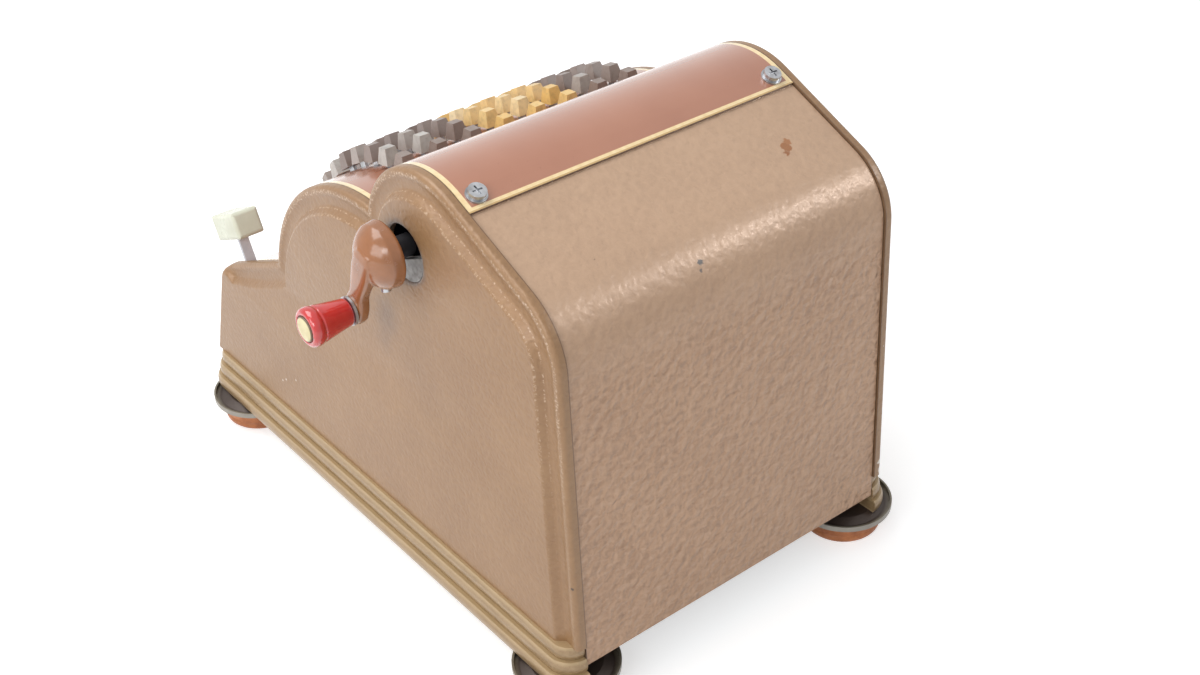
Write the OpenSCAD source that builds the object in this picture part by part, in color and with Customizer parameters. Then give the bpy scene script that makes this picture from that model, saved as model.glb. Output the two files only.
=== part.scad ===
// Desk adding machine: full keyboard, side crank and a row of number wheels.
// Modelling frame: X = 0 midway between the side seams, +X toward the crank.
// Y = 0 midway between the front and rear feet, +Y toward the back, Z = 0 on the desk.
// in_frame() shifts the whole machine so that its overall box stands centred on the origin.

/* [Casing] */
// width between the two side seams
body_w = 178; // [174:1:184]
// height of the shelf that each cheek stands on
ledge_z = 36; // [34:0.5:38]
// gap between a cheek and the sheets beside it
seam_gap = 0.2; // [0.1:0.05:0.4]
// thickness of the top plate
plate_t = 1.2; // [1:0.1:1.4]
// thickness of the rear and front covers
cover_t = 1.2; // [1:0.1:1.4]
// height of the lower edge of the covers
cover_bottom_z = 24.9; // [22:0.5:27]

/* [Side outline] */
// keyboard hump, centre toward the back
hump1_y = 6.6; // [5:0.2:8]
// keyboard hump, centre height
hump1_z = 108.6; // [107:0.2:110]
// keyboard hump, radius
hump1_r = 86.2; // [85:0.2:87.4]
// register hump, centre toward the back
hump2_y = 57.7; // [56.5:0.1:59]
// register hump, centre height
hump2_z = 182.5; // [181:0.5:184]
// register hump, radius
hump2_r = 46; // [45:0.5:47]
// rear corner, centre toward the back
corner_y = 111.7; // [110:0.5:113]
// rear corner, centre height
corner_z = 173; // [171:0.5:175]
// rear corner, radius
corner_r = 33.7; // [32.7:0.5:34.7]
// lean of the rear face
rear_lean = 2.84; // [2:0.1:3.6]
// slope of the front deck
deck_slope = 26; // [25:0.5:27]
// distance of the deck line from the frame origin
deck_d = 145.7; // [144.5:0.1:147]
// lean of the front edge of the cheeks
front_lean = 18.4; // [17:0.2:20]
// distance of the front line from the frame origin
front_d = 160.1; // [159:0.1:161]
// round between deck and front
front_r = 18; // [16.5:0.5:20]
// how far the nose of the deck stands behind the front line
nose_back = 20; // [18:0.5:22]
// round of the nose
nose_r = 9; // [8:0.5:10]
// how far the key ledge lies below the deck
ledge_drop = 22; // [20:0.5:24]
// how far the front cover stands behind the front line
face_back = 4; // [3:0.5:5]
// round between key ledge and front cover
ledge_r = 6; // [5:0.5:7]

/* [Cheeks] */
// thickness at the rim
rim_t = 5; // [4.6:0.1:5.4]
// thickness at the main face
cheek_t = 8; // [7.6:0.1:8.4]
// round of the raised face
step_r = 6; // [5:0.5:6.5]
// distance from the outline to the raised face
step_in = 15; // [14:0.5:16]
// number of terraces in the round of the raised face
step_terraces = 4;
// depth of the hollow behind the main face
pocket_depth = 4; // [3:0.5:4.5]
// distance from the outline to the hollow
pocket_in = 12; // [11:0.5:13]

/* [Plinth and base] */
// underside of the plinth
base_z = 15; // [14.6:0.1:15.4]
// height to which the middle of each rib bulges out from its edge
rib_bulge = 1; // [0.8:0.1:1.2]
// sideways reach of the top rib from the seam
rib_reach = 10.3; // [10:0.1:10.6]
// extra reach of each lower rib
rib_step = 2; // [1.8:0.1:2.2]
// number of ribs
rib_count = 3;
// rear end of the plinth
plinth_rear = 154.5; // [153.5:0.5:155.5]
// front end of the plinth, measured forward
plinth_front = 160.5; // [160:0.5:161.5]
// thickness of the plinth's inner flange
flange_t = 3; // [2.5:0.5:3.5]
// width of the plinth's inner flange
flange_w = 30; // [28:1:32]
// thickness of the base plate
base_t = 1.5; // [1.2:0.1:1.8]
// half the length of the base plate and of the plinths' flanges
base_half_l = 139; // [138.5:0.5:140]

/* [Feet] */
// distance of the feet from the middle plane
foot_x = 87; // [86:0.5:88]
// distance of the feet from the middle, front to back
foot_y = 134.6; // [133:0.2:136]
// radius of the cup
cup_r = 24.5; // [24:0.5:25]
// thickness of the cup
cup_t = 1; // [0.8:0.1:1.2]
// depth of the trough inside the cup's rim
cup_drop = 1.8; // [1.6:0.1:2]
// radius of the rubber before its bulge
rubber_r = 16.5; // [16:0.5:17]
// radius of the bulge
rubber_bulge = 3; // [2.8:0.1:3]
// radius of the foot screw
foot_screw_r = 2.5; // [2:0.25:2.75]
// radius of the foot screw head
foot_head_r = 5; // [4.5:0.25:5.5]

/* [Keyboard] */
// distance between key columns
key_pitch = 18.35; // [18.1:0.05:18.4]
// angle between key rows about the hump centre
row_pitch = 8.25; // [8:0.05:8.3]
// angle of the rear key row, forward of upright
row_start = 4.4; // [4:0.1:5]
// height of the key tops above the plate
key_top = 10; // [9.6:0.1:10.4]
// height of a key cap
cap_h = 7.5; // [7.2:0.1:7.6]
// width of a key cap at its top
cap_top_w = 5.3; // [5:0.1:5.6]
// width of a key cap at its foot
cap_foot_w = 8.1; // [7.8:0.1:8.4]
// depth of the socket in a key cap
cap_socket = 2.5; // [2:0.25:3]
// thickness of a key stem, side to side
stem_t = 1.6; // [1.4:0.1:1.8]
// width of a key stem, front to back
stem_w = 4.5; // [4:0.25:5]
// radius at which the key stems end
stem_end = 56; // [55.5:0.5:57]
// clearance of a stem in the plate
slot_clear = 0.3; // [0.2:0.05:0.4]
// clearance of a stem in the guide
guide_clear = 0.08; // [0.05:0.01:0.1]
// outer radius of the key guide
guide_r = 79.5; // [79:0.1:79.9]
// thickness of the key guide
guide_t = 1.5; // [1.2:0.1:1.6]

/* [Clearing key] */
// distance of the clearing key from the middle plane
clear_x = 80; // [79.5:0.25:80.5]
// underside of the clearing key, measured forward
clear_y = 142; // [141.5:0.5:142.5]
// underside of the clearing key, height
clear_z = 104.5; // [103.5:0.5:105.5]
// width of the clearing key
clear_w = 15; // [14:0.5:15]
// length of the clearing key
clear_l = 28; // [26:0.5:28.5]
// height of the clearing key
clear_h = 14; // [13:0.5:15]
// round of the clearing key
clear_r = 2; // [1.5:0.25:2.5]
// width of its stem
clear_stem_w = 5.5; // [5:0.25:6]
// thickness of its stem
clear_stem_t = 2; // [1.5:0.25:2.5]
// length of its stem below the key
clear_stem_l = 50; // [46:1:52]
// depth of its stem inside the key
clear_socket = 6; // [5:0.5:8]

/* [Frame] */
// distance of the inner face of each frame from the middle plane
frame_x = 72; // [71.75:0.25:72.5]
// thickness of the frames
frame_t = 2.5; // [2:0.1:2.5]
// front end of the frames, measured forward
frame_front = 96; // [94:0.5:97]
// rear end of the frames
frame_rear = 138; // [136:0.5:138.5]
// width of the foot of each frame
frame_foot_w = 9; // [8:0.5:9.5]
// radius of the tie bars
tie_r = 4; // [3.5:0.25:4.25]
// turning clearance of shafts in their bores
run_clear = 0.05; // [0.03:0.01:0.08]

/* [Adding works] */
// radius of the shaft that the sectors swing on
sector_shaft_r = 4; // [3.5:0.25:4.5]
// radius of the shaft that the number wheels turn on
register_shaft_r = 3; // [2.5:0.25:3.5]
// distance of the register shaft from the register hump's centre
register_in = 24.5; // [24.2:0.1:24.6]
// direction of the register shaft, above forward
register_up = 30; // [29.5:0.5:31]
// teeth of a wheel's pinion
pinion_teeth = 30;
// teeth of the drive gear and of the cam wheel
drive_teeth = 32;
// tooth size of the drive gears
drive_module = 1.25; // [1.2:0.01:1.28]
// play between meshing teeth
backlash = 0.2; // [0.16:0.02:0.24]
// thickness of a sector
sector_t = 2; // [1.8:0.1:2.2]
// distance of a sector beside its key column
sector_off = 4; // [3.8:0.1:4.2]
// depth of a sector's toothed rim
sector_rim = 9; // [8:0.5:10]
// width of a sector's arms
sector_arm_w = 7; // [6:0.5:8]
// radius of a sector's hub
sector_hub_r = 9; // [8:0.5:10]
// outer radius of the stop tab under the keys
tab_r = 52; // [51:0.5:52.5]
// radius of the bail rod
bail_r = 2; // [1.75:0.25:2.5]
// distance of the bail rod from the sector shaft
bail_out = 40; // [38:0.5:42]
// radius of a number wheel's dial
dial_r = 17.5; // [17.2:0.1:17.6]
// width of a number wheel's dial
dial_w = 9; // [8.5:0.1:9.2]
// width of a register window
window_w = 8; // [7.5:0.5:8.5]
// height of a register window
window_h = 12; // [11:0.5:13]
// thickness of the register glass
glass_t = 1; // [0.8:0.1:1]

/* [Crank] */
// crank axis, toward the back
crank_y = 45; // [44.8:0.1:45.5]
// crank axis, height
crank_z = 191; // [190:0.25:191]
// radius of the crankshaft
crankshaft_r = 5; // [4.5:0.25:5.25]
// hole in the cheek, toward the back
hole_y = 46; // [45.5:0.25:46.5]
// hole in the cheek, height
hole_z = 188; // [187.5:0.25:188.5]
// radius of the hole in the cheek
bush_r = 13; // [12.5:0.25:13.5]
// radius of the bush's flange
bush_flange_r = 17; // [16:0.5:18]
// radius of the crank hub
hub_r = 14.8; // [14.2:0.1:15.2]
// distance of the hub's rim from the seam
hub_out = 15.5; // [15.2:0.1:16]
// length of the hub
hub_l = 14; // [13.6:0.1:14.4]
// height of the hub's domed face
hub_dome = 9.5; // [9:0.5:10]
// radius of the flat pad at the middle of the hub's face
hub_pad_r = 3; // [2:0.25:4]
// wall of the hub
hub_wall = 2; // [1.6:0.1:2.4]
// radius of the boss inside the hub
hub_boss_r = 8.5; // [8:0.5:9]
// throw of the crank
crank_throw = 30.1; // [29:0.1:32]
// lean of the hanging crank toward the front
crank_lean = 21.6; // [20:0.2:23]
// inner face of the arm, measured from the seam
arm_out = 23; // [22.8:0.1:23.4]
// thickness of the arm
arm_t = 6.7; // [6.4:0.1:7]
// radius of the arm's end
arm_end_r = 6.1; // [5.8:0.1:6.4]
// radius of the arm at the hub
arm_root_r = 7.5; // [7:0.1:8]
// radius of the pin through the hub
pin_r = 2.2; // [2:0.1:2.4]
// length of the grip
grip_l = 21; // [20:0.5:22]
// radius of the grip at its inner end
grip_r0 = 6.25; // [6:0.25:6.5]
// radius of the grip at its outer end
grip_r1 = 9.25; // [9:0.25:9.5]
// radius of the grip's rounded bands
grip_band = 1.6; // [1.4:0.1:1.8]
// radius of the spindle
spindle_r = 2.5; // [2.25:0.25:2.75]
// radius of the grip's end disc
grip_cap_r = 6; // [5.5:0.25:6.25]
// length of the end disc
grip_cap_l = 3; // [2.6:0.2:3.4]
// length of the metal ring beside the arm
ferrule_l = 1.2; // [1:0.1:1.4]
// radius of the metal ring beside the arm
ferrule_r = 6.6; // [6.2:0.1:7]

/* [Screws] */
// distance of the cover screws from the middle plane
screw_x = 81; // [80:0.25:82]
// distance of the cover screws below the register hump along the slope
screw_down = 2.9; // [2.5:0.1:3.5]
// distance of the plate's rear edge beyond the screws
plate_past = 7.1; // [6.6:0.1:8]
// radius of a cover screw
screw_r = 2; // [1.75:0.25:2.25]
// radius of a cover screw's head
screw_head_r = 4; // [3.5:0.25:4.25]
// height of a cover screw's head
screw_head_h = 2.4; // [2.2:0.1:2.6]
// radius of a washer
washer_r = 4.75; // [4.5:0.25:5]
// thickness of a washer
washer_t = 0.8; // [0.6:0.1:1]

/* [Hidden] */
$fn = 96;

// counts and fixed shares
key_cols = 8;
key_rows = 9;
digits = 10;
pressure_angle = 20;
far = 400;
tiny = 0.01;
join_overlap = 4;

// places across the machine
half_w = body_w / 2;
sheet_x = half_w - seam_gap;
frame_out = frame_x + frame_t;
function column_x(c) = (c - (key_cols + 1) / 2) * key_pitch;
function row_angle(k) = row_start + (k - 1) * row_pitch;

// the side outline, in the Y-Z plane
function unit_at(a) = [cos(a), sin(a)];
function meet(n1, d1, n2, d2) =
    let (det = n1[0] * n2[1] - n1[1] * n2[0])
    [(d1 * n2[1] - n1[1] * d2) / det, (n1[0] * d2 - d1 * n2[0]) / det];
hump1 = [hump1_y, hump1_z];
hump2 = [hump2_y, hump2_z];
corner = [corner_y, corner_z];
deck_n = unit_at(90 + deck_slope);
deck_t = [-deck_n[1], deck_n[0]];
front_n = unit_at(180 - front_lean);
front_t = unit_at(90 - front_lean);
rear_n = unit_at(rear_lean);
rear_d = rear_n * corner + corner_r;
span = corner - hump2;
slope_a = atan2(span[1], span[0]) + acos((hump2_r - corner_r) / norm(span));
slope_n = unit_at(slope_a);
slope_t = unit_at(slope_a - 90);
slope_l = sqrt(norm(span) * norm(span) - pow(hump2_r - corner_r, 2));
slope_start = hump2 + slope_n * hump2_r;
function y_on(n, d, z) = (d - n[1] * z) / n[0];
function front_centre(dist, r) = meet(deck_n, deck_d - r, front_n, dist - r);
function deck_join(d) =
    let (h = deck_d - d - deck_n * hump1)
    hump1 + deck_n * h + deck_t * sqrt(pow(hump1_r - d, 2) - h * h);
hump_gap = norm(hump2 - hump1);
hump_share = (hump1_r * hump1_r - hump2_r * hump2_r + hump_gap * hump_gap) / (2 * hump_gap);
hump_line = (hump2 - hump1) / hump_gap;
valley = hump1 + hump_line * hump_share
    + [-hump_line[1], hump_line[0]] * sqrt(hump1_r * hump1_r - hump_share * hump_share);
ledge_d = deck_d - ledge_drop;
face_d = front_d - face_back;
nose_d = front_d - nose_back;
nose = front_centre(nose_d, nose_r);
ledge_corner = meet(deck_n, ledge_d - ledge_r, front_n, face_d - ledge_r);

// places measured along the rear slope
screw_at = slope_start + slope_t * screw_down;
plate_end = screw_down + plate_past;
slope_zero = slope_t * slope_start;
cover_tuck = 12;
nose_tuck = 5;

// the works
register_at = hump2 + register_in * unit_at(180 - register_up);
register_reach = norm(register_at - hump1);
digit_turn = 360 / digits;
gear_ratio = digit_turn / row_pitch;
pinion_pr = register_reach / (1 + gear_ratio);
sector_pr = register_reach - pinion_pr;
register_module = 2 * pinion_pr / pinion_teeth;
sector_teeth = 2 * sector_pr / register_module;
register_a = atan2(register_at[1] - hump1[1], register_at[0] - hump1[0]);
sector_sweep = (key_rows * row_pitch);
tooth_margin = 4;
crank_at = [crank_y, crank_z];
hole_at = [hole_y, hole_z];
drive_pr = drive_module * drive_teeth / 2;
cam_a = -45;
cam_at = crank_at + 2 * drive_pr * unit_at(cam_a);
drive_x = frame_out + 1.5;
drive_w = 5;
stud_r = 3;
arm_end = crank_at + crank_throw * unit_at(270 - crank_lean);
hub_x = half_w + hub_out;
arm_x = half_w + arm_out;
spindle_x = arm_x + arm_t;
grip_x = spindle_x + ferrule_l + run_clear;
grip_end_x = grip_x + grip_l;
tie_places = [[-85, 56], [128, 56], [116, 160], [-70, 94]];

// the overall box
x_low = -(foot_x + cup_r);
x_high = grip_end_x + grip_cap_l - 1;
y_low = -max(plinth_front, foot_y + cup_r);
y_high = max(plinth_rear, foot_y + cup_r);
module in_frame() {
    translate([-(x_low + x_high) / 2, -(y_low + y_high) / 2, 0]) children();
}

// helpers
module across(x0, x1) {
    translate([x0, 0, 0]) rotate([90, 0, 90]) linear_extrude(x1 - x0) children();
}
module rod(x0, x1, p, r) {
    across(x0, x1) translate(p) circle(r);
}
module turned(x0, p) {
    translate([x0, p[0], p[1]]) rotate([90, 0, 90]) rotate_extrude() children();
}
module at_row(k) {
    translate([0, hump1_y, hump1_z]) rotate([row_angle(k), 0, 0]) children();
}
module at_key(k, c) {
    translate([column_x(c), 0, 0]) at_row(k) children();
}
module above(z) {
    intersection() {
        union() children();
        translate([-far, z]) square([2 * far, far]);
    }
}

// the outline, drawn a distance d inside its edge
module profile(d, dist, round_r, front_points) {
    c = front_centre(dist, round_r);
    translate(hump1) circle(hump1_r - d);
    translate(hump2) circle(hump2_r - d);
    translate(corner) circle(corner_r - d);
    translate(c) circle(round_r - d);
    polygon([hump2, corner, corner + slope_n * (corner_r - d), hump2 + slope_n * (hump2_r - d)]);
    polygon([c, hump1, deck_join(d) - deck_t * join_overlap, c + deck_n * (round_r - d)]);
    polygon(concat(
        [
            [y_on(rear_n, rear_d - d, 0), 0],
            corner + rear_n * (corner_r - d),
            corner,
            hump2,
            hump1,
            c,
            c + front_n * (round_r - d)
        ],
        front_points
    ));
}
module cheek_profile(d, bottom) {
    above(bottom) profile(d, front_d, front_r, [[y_on(front_n, front_d - d, 0), 0]]);
}
module middle_profile(d, bottom) {
    above(bottom) {
        profile(d, nose_d, nose_r, [
            meet(front_n, nose_d - d, deck_n, ledge_d - d),
            ledge_corner + deck_n * (ledge_r - d),
            ledge_corner,
            ledge_corner + front_n * (ledge_r - d),
            [y_on(front_n, face_d - d, 0), 0]
        ]);
        translate(ledge_corner) circle(ledge_r - d);
    }
}
module middle_skin(d0, d1, bottom) {
    difference() {
        middle_profile(d0, bottom);
        middle_profile(d1, bottom - 1);
    }
}
// the half plane on the side that normal n points to, beyond distance d
module beyond(n, d) {
    rotate(atan2(n[1], n[0])) translate([d, -far]) square([2 * far, 2 * far]);
}

// cheeks: a flat pressed rim, then the rounded step up to the face, cut as terraces on its curve
module cheek_body() {
    start_a = asin((rim_t - cheek_t + step_r) / step_r);
    across(0, rim_t) cheek_profile(0, ledge_z);
    for (i = [1 : step_terraces]) {
        a = start_a + (90 - start_a) * i / step_terraces;
        across(0, cheek_t - step_r + step_r * sin(a)) cheek_profile(step_in - step_r * cos(a), ledge_z);
    }
}
module cheek() {
    difference() {
        cheek_body();
        across(-1, pocket_depth) cheek_profile(pocket_in, ledge_z + 4);
    }
}
module right_cheek() {
    in_frame() color("Sienna") difference() {
        translate([half_w, 0, 0]) cheek();
        rod(half_w - 1, half_w + cheek_t + 1, hole_at, bush_r);
    }
}
module left_cheek() {
    in_frame() color("Sienna") mirror([1, 0, 0]) translate([half_w, 0, 0]) cheek();
}

// plinths
module plinth_section() {
    rib_h = (ledge_z - base_z) / rib_count;
    rib_r = (rib_h * rib_h / 4 + rib_bulge * rib_bulge) / (2 * rib_bulge);
    for (i = [0 : rib_count - 1]) {
        reach = rib_reach + (rib_count - 1 - i) * rib_step;
        z0 = base_z + i * rib_h;
        translate([0, z0]) square([reach - rib_bulge, rib_h]);
        intersection() {
            translate([reach - rib_r, z0 + rib_h / 2]) circle(rib_r);
            translate([rib_r / 4, z0]) square([far, rib_h]);
        }
    }
}
module plinth() {
    outer = rib_reach + (rib_count - 1) * rib_step;
    rear = plinth_rear - outer;
    front = -plinth_front + outer;
    difference() {
        union() {
            translate([half_w, rear, 0]) rotate([90, 0, 0]) linear_extrude(rear - front) plinth_section();
            translate([half_w, rear, 0]) rotate_extrude(angle = 90) plinth_section();
            translate([half_w, front, 0]) rotate([0, 0, -90]) rotate_extrude(angle = 90) plinth_section();
            translate([half_w - flange_w, -base_half_l, base_z]) cube([flange_w + 1, 2 * base_half_l, flange_t]);
        }
        for (side = [-1, 1])
            translate([foot_x, side * foot_y, base_z - 1]) cylinder(r = foot_screw_r, h = flange_t + 10);
    }
}
module right_plinth() {
    in_frame() color("DarkGoldenrod") plinth();
}
module left_plinth() {
    in_frame() color("DarkGoldenrod") mirror([1, 0, 0]) plinth();
}

// sheet covers
module screw_line(r) {
    for (side = [-1, 1])
        translate([side * screw_x, screw_at[0], screw_at[1]]) rotate([slope_a - 90, 0, 0])
            cylinder(r = r, h = 20, center = true);
}
module rear_cover() {
    in_frame() color("RosyBrown") difference() {
        across(-sheet_x, sheet_x) intersection() {
            middle_skin(plate_t, plate_t + cover_t, cover_bottom_z);
            beyond(slope_t, slope_zero + plate_end - cover_tuck);
            translate([0, 0]) square([far, far]);
        }
        screw_line(screw_r);
    }
}
module top_plate() {
    in_frame() color("Tan") difference() {
        across(-sheet_x, sheet_x) intersection() {
            middle_skin(0, plate_t, cover_bottom_z);
            beyond(deck_n, deck_d - nose_r);
            beyond(-slope_t, -slope_zero - plate_end);
        }
        screw_line(screw_r);
        for (k = [1 : key_rows], c = [1 : key_cols]) at_key(k, c)
            translate([-stem_t / 2 - slot_clear, -stem_w / 2 - slot_clear, hump1_r - 8])
                cube([stem_t + 2 * slot_clear, stem_w + 2 * slot_clear, 12]);
        for (c = [1 : key_cols])
            translate([column_x(c) - dial_w / 5, hump2_y, hump2_z]) rotate([90 - register_up, 0, 0])
                translate([-window_w / 2, -window_h / 2, hump2_r - 6]) cube([window_w, window_h, 10]);
    }
}
module front_cover() {
    in_frame() color("RosyBrown") difference() {
        across(-sheet_x, sheet_x) intersection() {
            middle_skin(plate_t, plate_t + cover_t, cover_bottom_z);
            beyond(-deck_n, -(deck_d - nose_r + nose_tuck));
            translate([-far, 0]) square([far - frame_front / 2, far]);
        }
        at_clear() translate([-clear_stem_w / 2 - slot_clear, -clear_stem_t / 2 - slot_clear, -far / 4])
            cube([clear_stem_w + 2 * slot_clear, clear_stem_t + 2 * slot_clear, far / 4]);
    }
}
module base_plate() {
    in_frame() color("DimGray") difference() {
        translate([-half_w, -base_half_l, base_z + flange_t]) cube([body_w, 2 * base_half_l, base_t]);
        foot_bores(foot_screw_r);
    }
}
module foot_bores(r) {
    at_feet() cylinder(r = r, h = 40);
}
module at_feet() {
    for (sx = [-1, 1], sy = [-1, 1]) translate([sx * foot_x, sy * foot_y, 0]) children();
}

// feet
module foot_cups() {
    crown = rubber_r - 0.5;
    in_frame() color("DimGray") at_feet() rotate_extrude() polygon([
        [foot_screw_r, base_z - cup_t],
        [crown, base_z - cup_t],
        [crown + 4.5, base_z - cup_t - cup_drop],
        [cup_r, base_z - cup_t - cup_drop],
        [cup_r, base_z],
        [cup_r - cup_t, base_z],
        [cup_r - cup_t, base_z - cup_drop],
        [crown + 5, base_z - cup_drop],
        [crown + 0.5, base_z],
        [foot_screw_r, base_z]
    ]);
}
module foot_rubbers() {
    crown = rubber_r - 0.5;
    wall_r = rubber_r + rubber_bulge - 0.5;
    in_frame() color("Peru") at_feet() difference() {
        union() {
            cylinder(r = rubber_r, h = 2 * rubber_bulge);
            rotate_extrude() translate([rubber_r, rubber_bulge]) circle(rubber_bulge);
            translate([0, 0, rubber_bulge]) cylinder(r = wall_r, h = base_z - cup_t - cup_drop - rubber_bulge);
            cylinder(r = crown, h = base_z - cup_t);
        }
        translate([0, 0, -1]) cylinder(r = foot_screw_r, h = base_z + 5);
        translate([0, 0, -1]) cylinder(r = foot_head_r + 1, h = 1 + rubber_bulge);
    }
}
module foot_screws() {
    head_h = 2;
    in_frame() color("Silver") at_feet() translate([0, 0, rubber_bulge]) {
        cylinder(r = foot_screw_r, h = base_z + flange_t + base_t + 2 - rubber_bulge);
        translate([0, 0, -head_h]) cylinder(r = foot_head_r, h = head_h);
    }
}

// cover screws and washers
module at_cover_screws() {
    for (side = [-1, 1])
        translate([side * screw_x, screw_at[0], screw_at[1]]) rotate([slope_a - 90, 0, 0]) children();
}
module cover_screws() {
    in_frame() color("Silver") at_cover_screws() difference() {
        union() {
            translate([0, 0, -6]) cylinder(r = screw_r, h = 6 + washer_t + 1);
            translate([0, 0, washer_t]) cylinder(r = screw_head_r, h = screw_head_h);
        }
        for (a = [0, 90]) rotate([0, 0, a])
            translate([-screw_head_r * 0.6, -0.4, washer_t + screw_head_h / 2])
                cube([screw_head_r * 1.2, 0.8, screw_head_h]);
    }
}
module cover_washers() {
    in_frame() color("LightSteelBlue") at_cover_screws() difference() {
        cylinder(r = washer_r, h = washer_t);
        translate([0, 0, -1]) cylinder(r = screw_r, h = 3);
    }
}

// keyboard
module key_stem_box(grow, low, high) {
    translate([-stem_t / 2 - grow, -stem_w / 2 - grow, low])
        cube([stem_t + 2 * grow, stem_w + 2 * grow, high - low]);
}
module cap_section() {
    polygon([
        [-cap_foot_w / 2, 0],
        [cap_foot_w / 2, 0],
        [cap_top_w / 2, cap_h],
        [-cap_top_w / 2, cap_h]
    ]);
}
cap_foot_at = hump1_r + key_top - cap_h;
module key_caps(k) {
    in_frame() color("Tan") for (c = [1 : key_cols]) at_key(k, c) difference() {
        translate([0, 0, cap_foot_at]) intersection() {
            rotate([90, 0, 0]) linear_extrude(2 * cap_foot_w, center = true) cap_section();
            rotate([90, 0, 90]) linear_extrude(2 * cap_foot_w, center = true) cap_section();
        }
        key_stem_box(0, cap_foot_at - 1, cap_foot_at + cap_socket);
    }
}
module key_stems(k) {
    in_frame() color("Silver") for (c = [1 : key_cols]) at_key(k, c)
        key_stem_box(0, stem_end, cap_foot_at + cap_socket);
}
module key_guide() {
    margin = row_pitch * 0.8;
    in_frame() color("Gray") difference() {
        across(-frame_x, frame_x) intersection() {
            translate(hump1) difference() {
                circle(guide_r);
                circle(guide_r - guide_t);
            }
            translate(hump1) polygon([
                [0, 0],
                far * unit_at(90 + row_start - margin),
                far * unit_at(90 + row_angle(key_rows) / 2),
                far * unit_at(90 + row_angle(key_rows) + margin)
            ]);
        }
        for (k = [1 : key_rows], c = [1 : key_cols]) at_key(k, c)
            key_stem_box(guide_clear, guide_r - 6, guide_r + 4);
    }
}

// clearing key
module at_clear() {
    translate([clear_x, -clear_y, clear_z]) rotate([deck_slope, 0, 0]) children();
}
module round_box(w, l, r) {
    translate([r, 0]) square([w - 2 * r, l]);
    translate([0, r]) square([w, l - 2 * r]);
    for (x = [r, w - r], y = [r, l - r]) translate([x, y]) circle(r);
}
module clearing_key() {
    in_frame() color("Ivory") at_clear() difference() {
        intersection() {
            translate([-clear_w / 2, -clear_l / 2, 0]) linear_extrude(clear_h) round_box(clear_w, clear_l, clear_r);
            translate([-clear_w / 2, 0, 0]) rotate([90, 0, 0])
                linear_extrude(clear_l, center = true) round_box(clear_w, clear_h, clear_r);
            translate([0, -clear_l / 2, 0]) rotate([90, 0, 90])
                linear_extrude(clear_w, center = true) round_box(clear_l, clear_h, clear_r);
        }
        translate([-clear_stem_w / 2, -clear_stem_t / 2, -1]) cube([clear_stem_w, clear_stem_t, clear_socket + 1]);
    }
}
module clearing_stem() {
    in_frame() color("Silver") at_clear()
        translate([-clear_stem_w / 2, -clear_stem_t / 2, -clear_stem_l])
            cube([clear_stem_w, clear_stem_t, clear_stem_l + clear_socket]);
}

// frames and bars
module frame_plate() {
    foot_z = base_z + flange_t + base_t;
    difference() {
        union() {
            across(frame_x, frame_out) intersection() {
                union() {
                    cheek_profile(plate_t + cover_t, foot_z);
                    intersection() {
                        cheek_profile(plate_t, foot_z);
                        beyond(-slope_t, -slope_zero - plate_end + cover_tuck + 1);
                    }
                }
                translate([-frame_front, 0]) square([frame_front + frame_rear, far]);
            }
            translate([frame_x, -frame_front, foot_z]) cube([frame_foot_w + frame_t, frame_front + frame_rear, frame_t]);
        }
        rod(0, far, crank_at, crankshaft_r + run_clear);
        rod(0, far, hump1, sector_shaft_r);
        rod(0, far, register_at, register_shaft_r);
        rod(0, far, cam_at, stud_r);
        for (p = tie_places) rod(0, far, p, tie_r);
    }
}
module side_frames() {
    in_frame() color("SlateGray") {
        frame_plate();
        mirror([1, 0, 0]) frame_plate();
    }
}
module tie_bars() {
    in_frame() color("LightSlateGray") for (p = tie_places)
        rod(-half_w - pocket_depth, half_w + pocket_depth, p, tie_r);
}

// toothed outline in its own plane, with a tooth on the +x axis
function inv(a) = tan(a) - a * PI / 180;
function flank(pr, teeth, play, r) =
    let (base = pr * cos(pressure_angle), a = r <= base ? 0 : acos(base / r))
    (PI / (2 * teeth) - play / (2 * pr) + inv(pressure_angle) - inv(a)) * 180 / PI;
function tooth(pr, teeth, m, play, at) =
    let (
        low = pr - 1.25 * m,
        high = pr + 0.95 * m,
        base = max(low, pr * cos(pressure_angle)),
        radii = [low, base + 0.1, pr, high]
    )
    concat(
        [for (i = [0 : 3]) radii[i] * unit_at(at - flank(pr, teeth, play, radii[i]))],
        [for (i = [3 : -1 : 0]) radii[i] * unit_at(at + flank(pr, teeth, play, radii[i]))]
    );
module gear(teeth, m) {
    pr = teeth * m / 2;
    polygon([for (i = [0 : teeth - 1]) each tooth(pr, teeth, m, backlash / 2, i * 360 / teeth)]);
}

// sectors, all hung on one shaft
module sector_plate() {
    pitch = 360 / sector_teeth;
    last = ceil((sector_sweep + tooth_margin) / pitch);
    root = sector_pr - 1.25 * register_module;
    start = register_a - 1.5 * pitch;
    finish = register_a + (last + 0.5) * pitch;
    arms = [register_a, register_a + sector_sweep / 2, register_a + sector_sweep];
    difference() {
        union() {
            polygon(concat(
                [(root - sector_rim) * unit_at(start), root * unit_at(start)],
                [for (i = [-1 : last]) each tooth(
                    sector_pr, sector_teeth, register_module, backlash / 2, register_a + i * pitch)],
                [root * unit_at(finish)],
                [for (i = [last : -1 : 0]) (root - sector_rim) * unit_at(register_a + i * pitch)]
            ));
            circle(sector_hub_r);
            for (a = arms) rotate(a) translate([0, -sector_arm_w / 2])
                square([sector_pr - sector_rim, sector_arm_w]);
            rotate(tab_a) translate([0, -sector_arm_w / 2]) square([tab_r, sector_arm_w]);
        }
        circle(sector_shaft_r + run_clear);
        translate(bail_out * unit_at(arms[1])) circle(bail_r);
    }
}
tab_a = 90 + row_angle(key_rows) + row_pitch;
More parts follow.
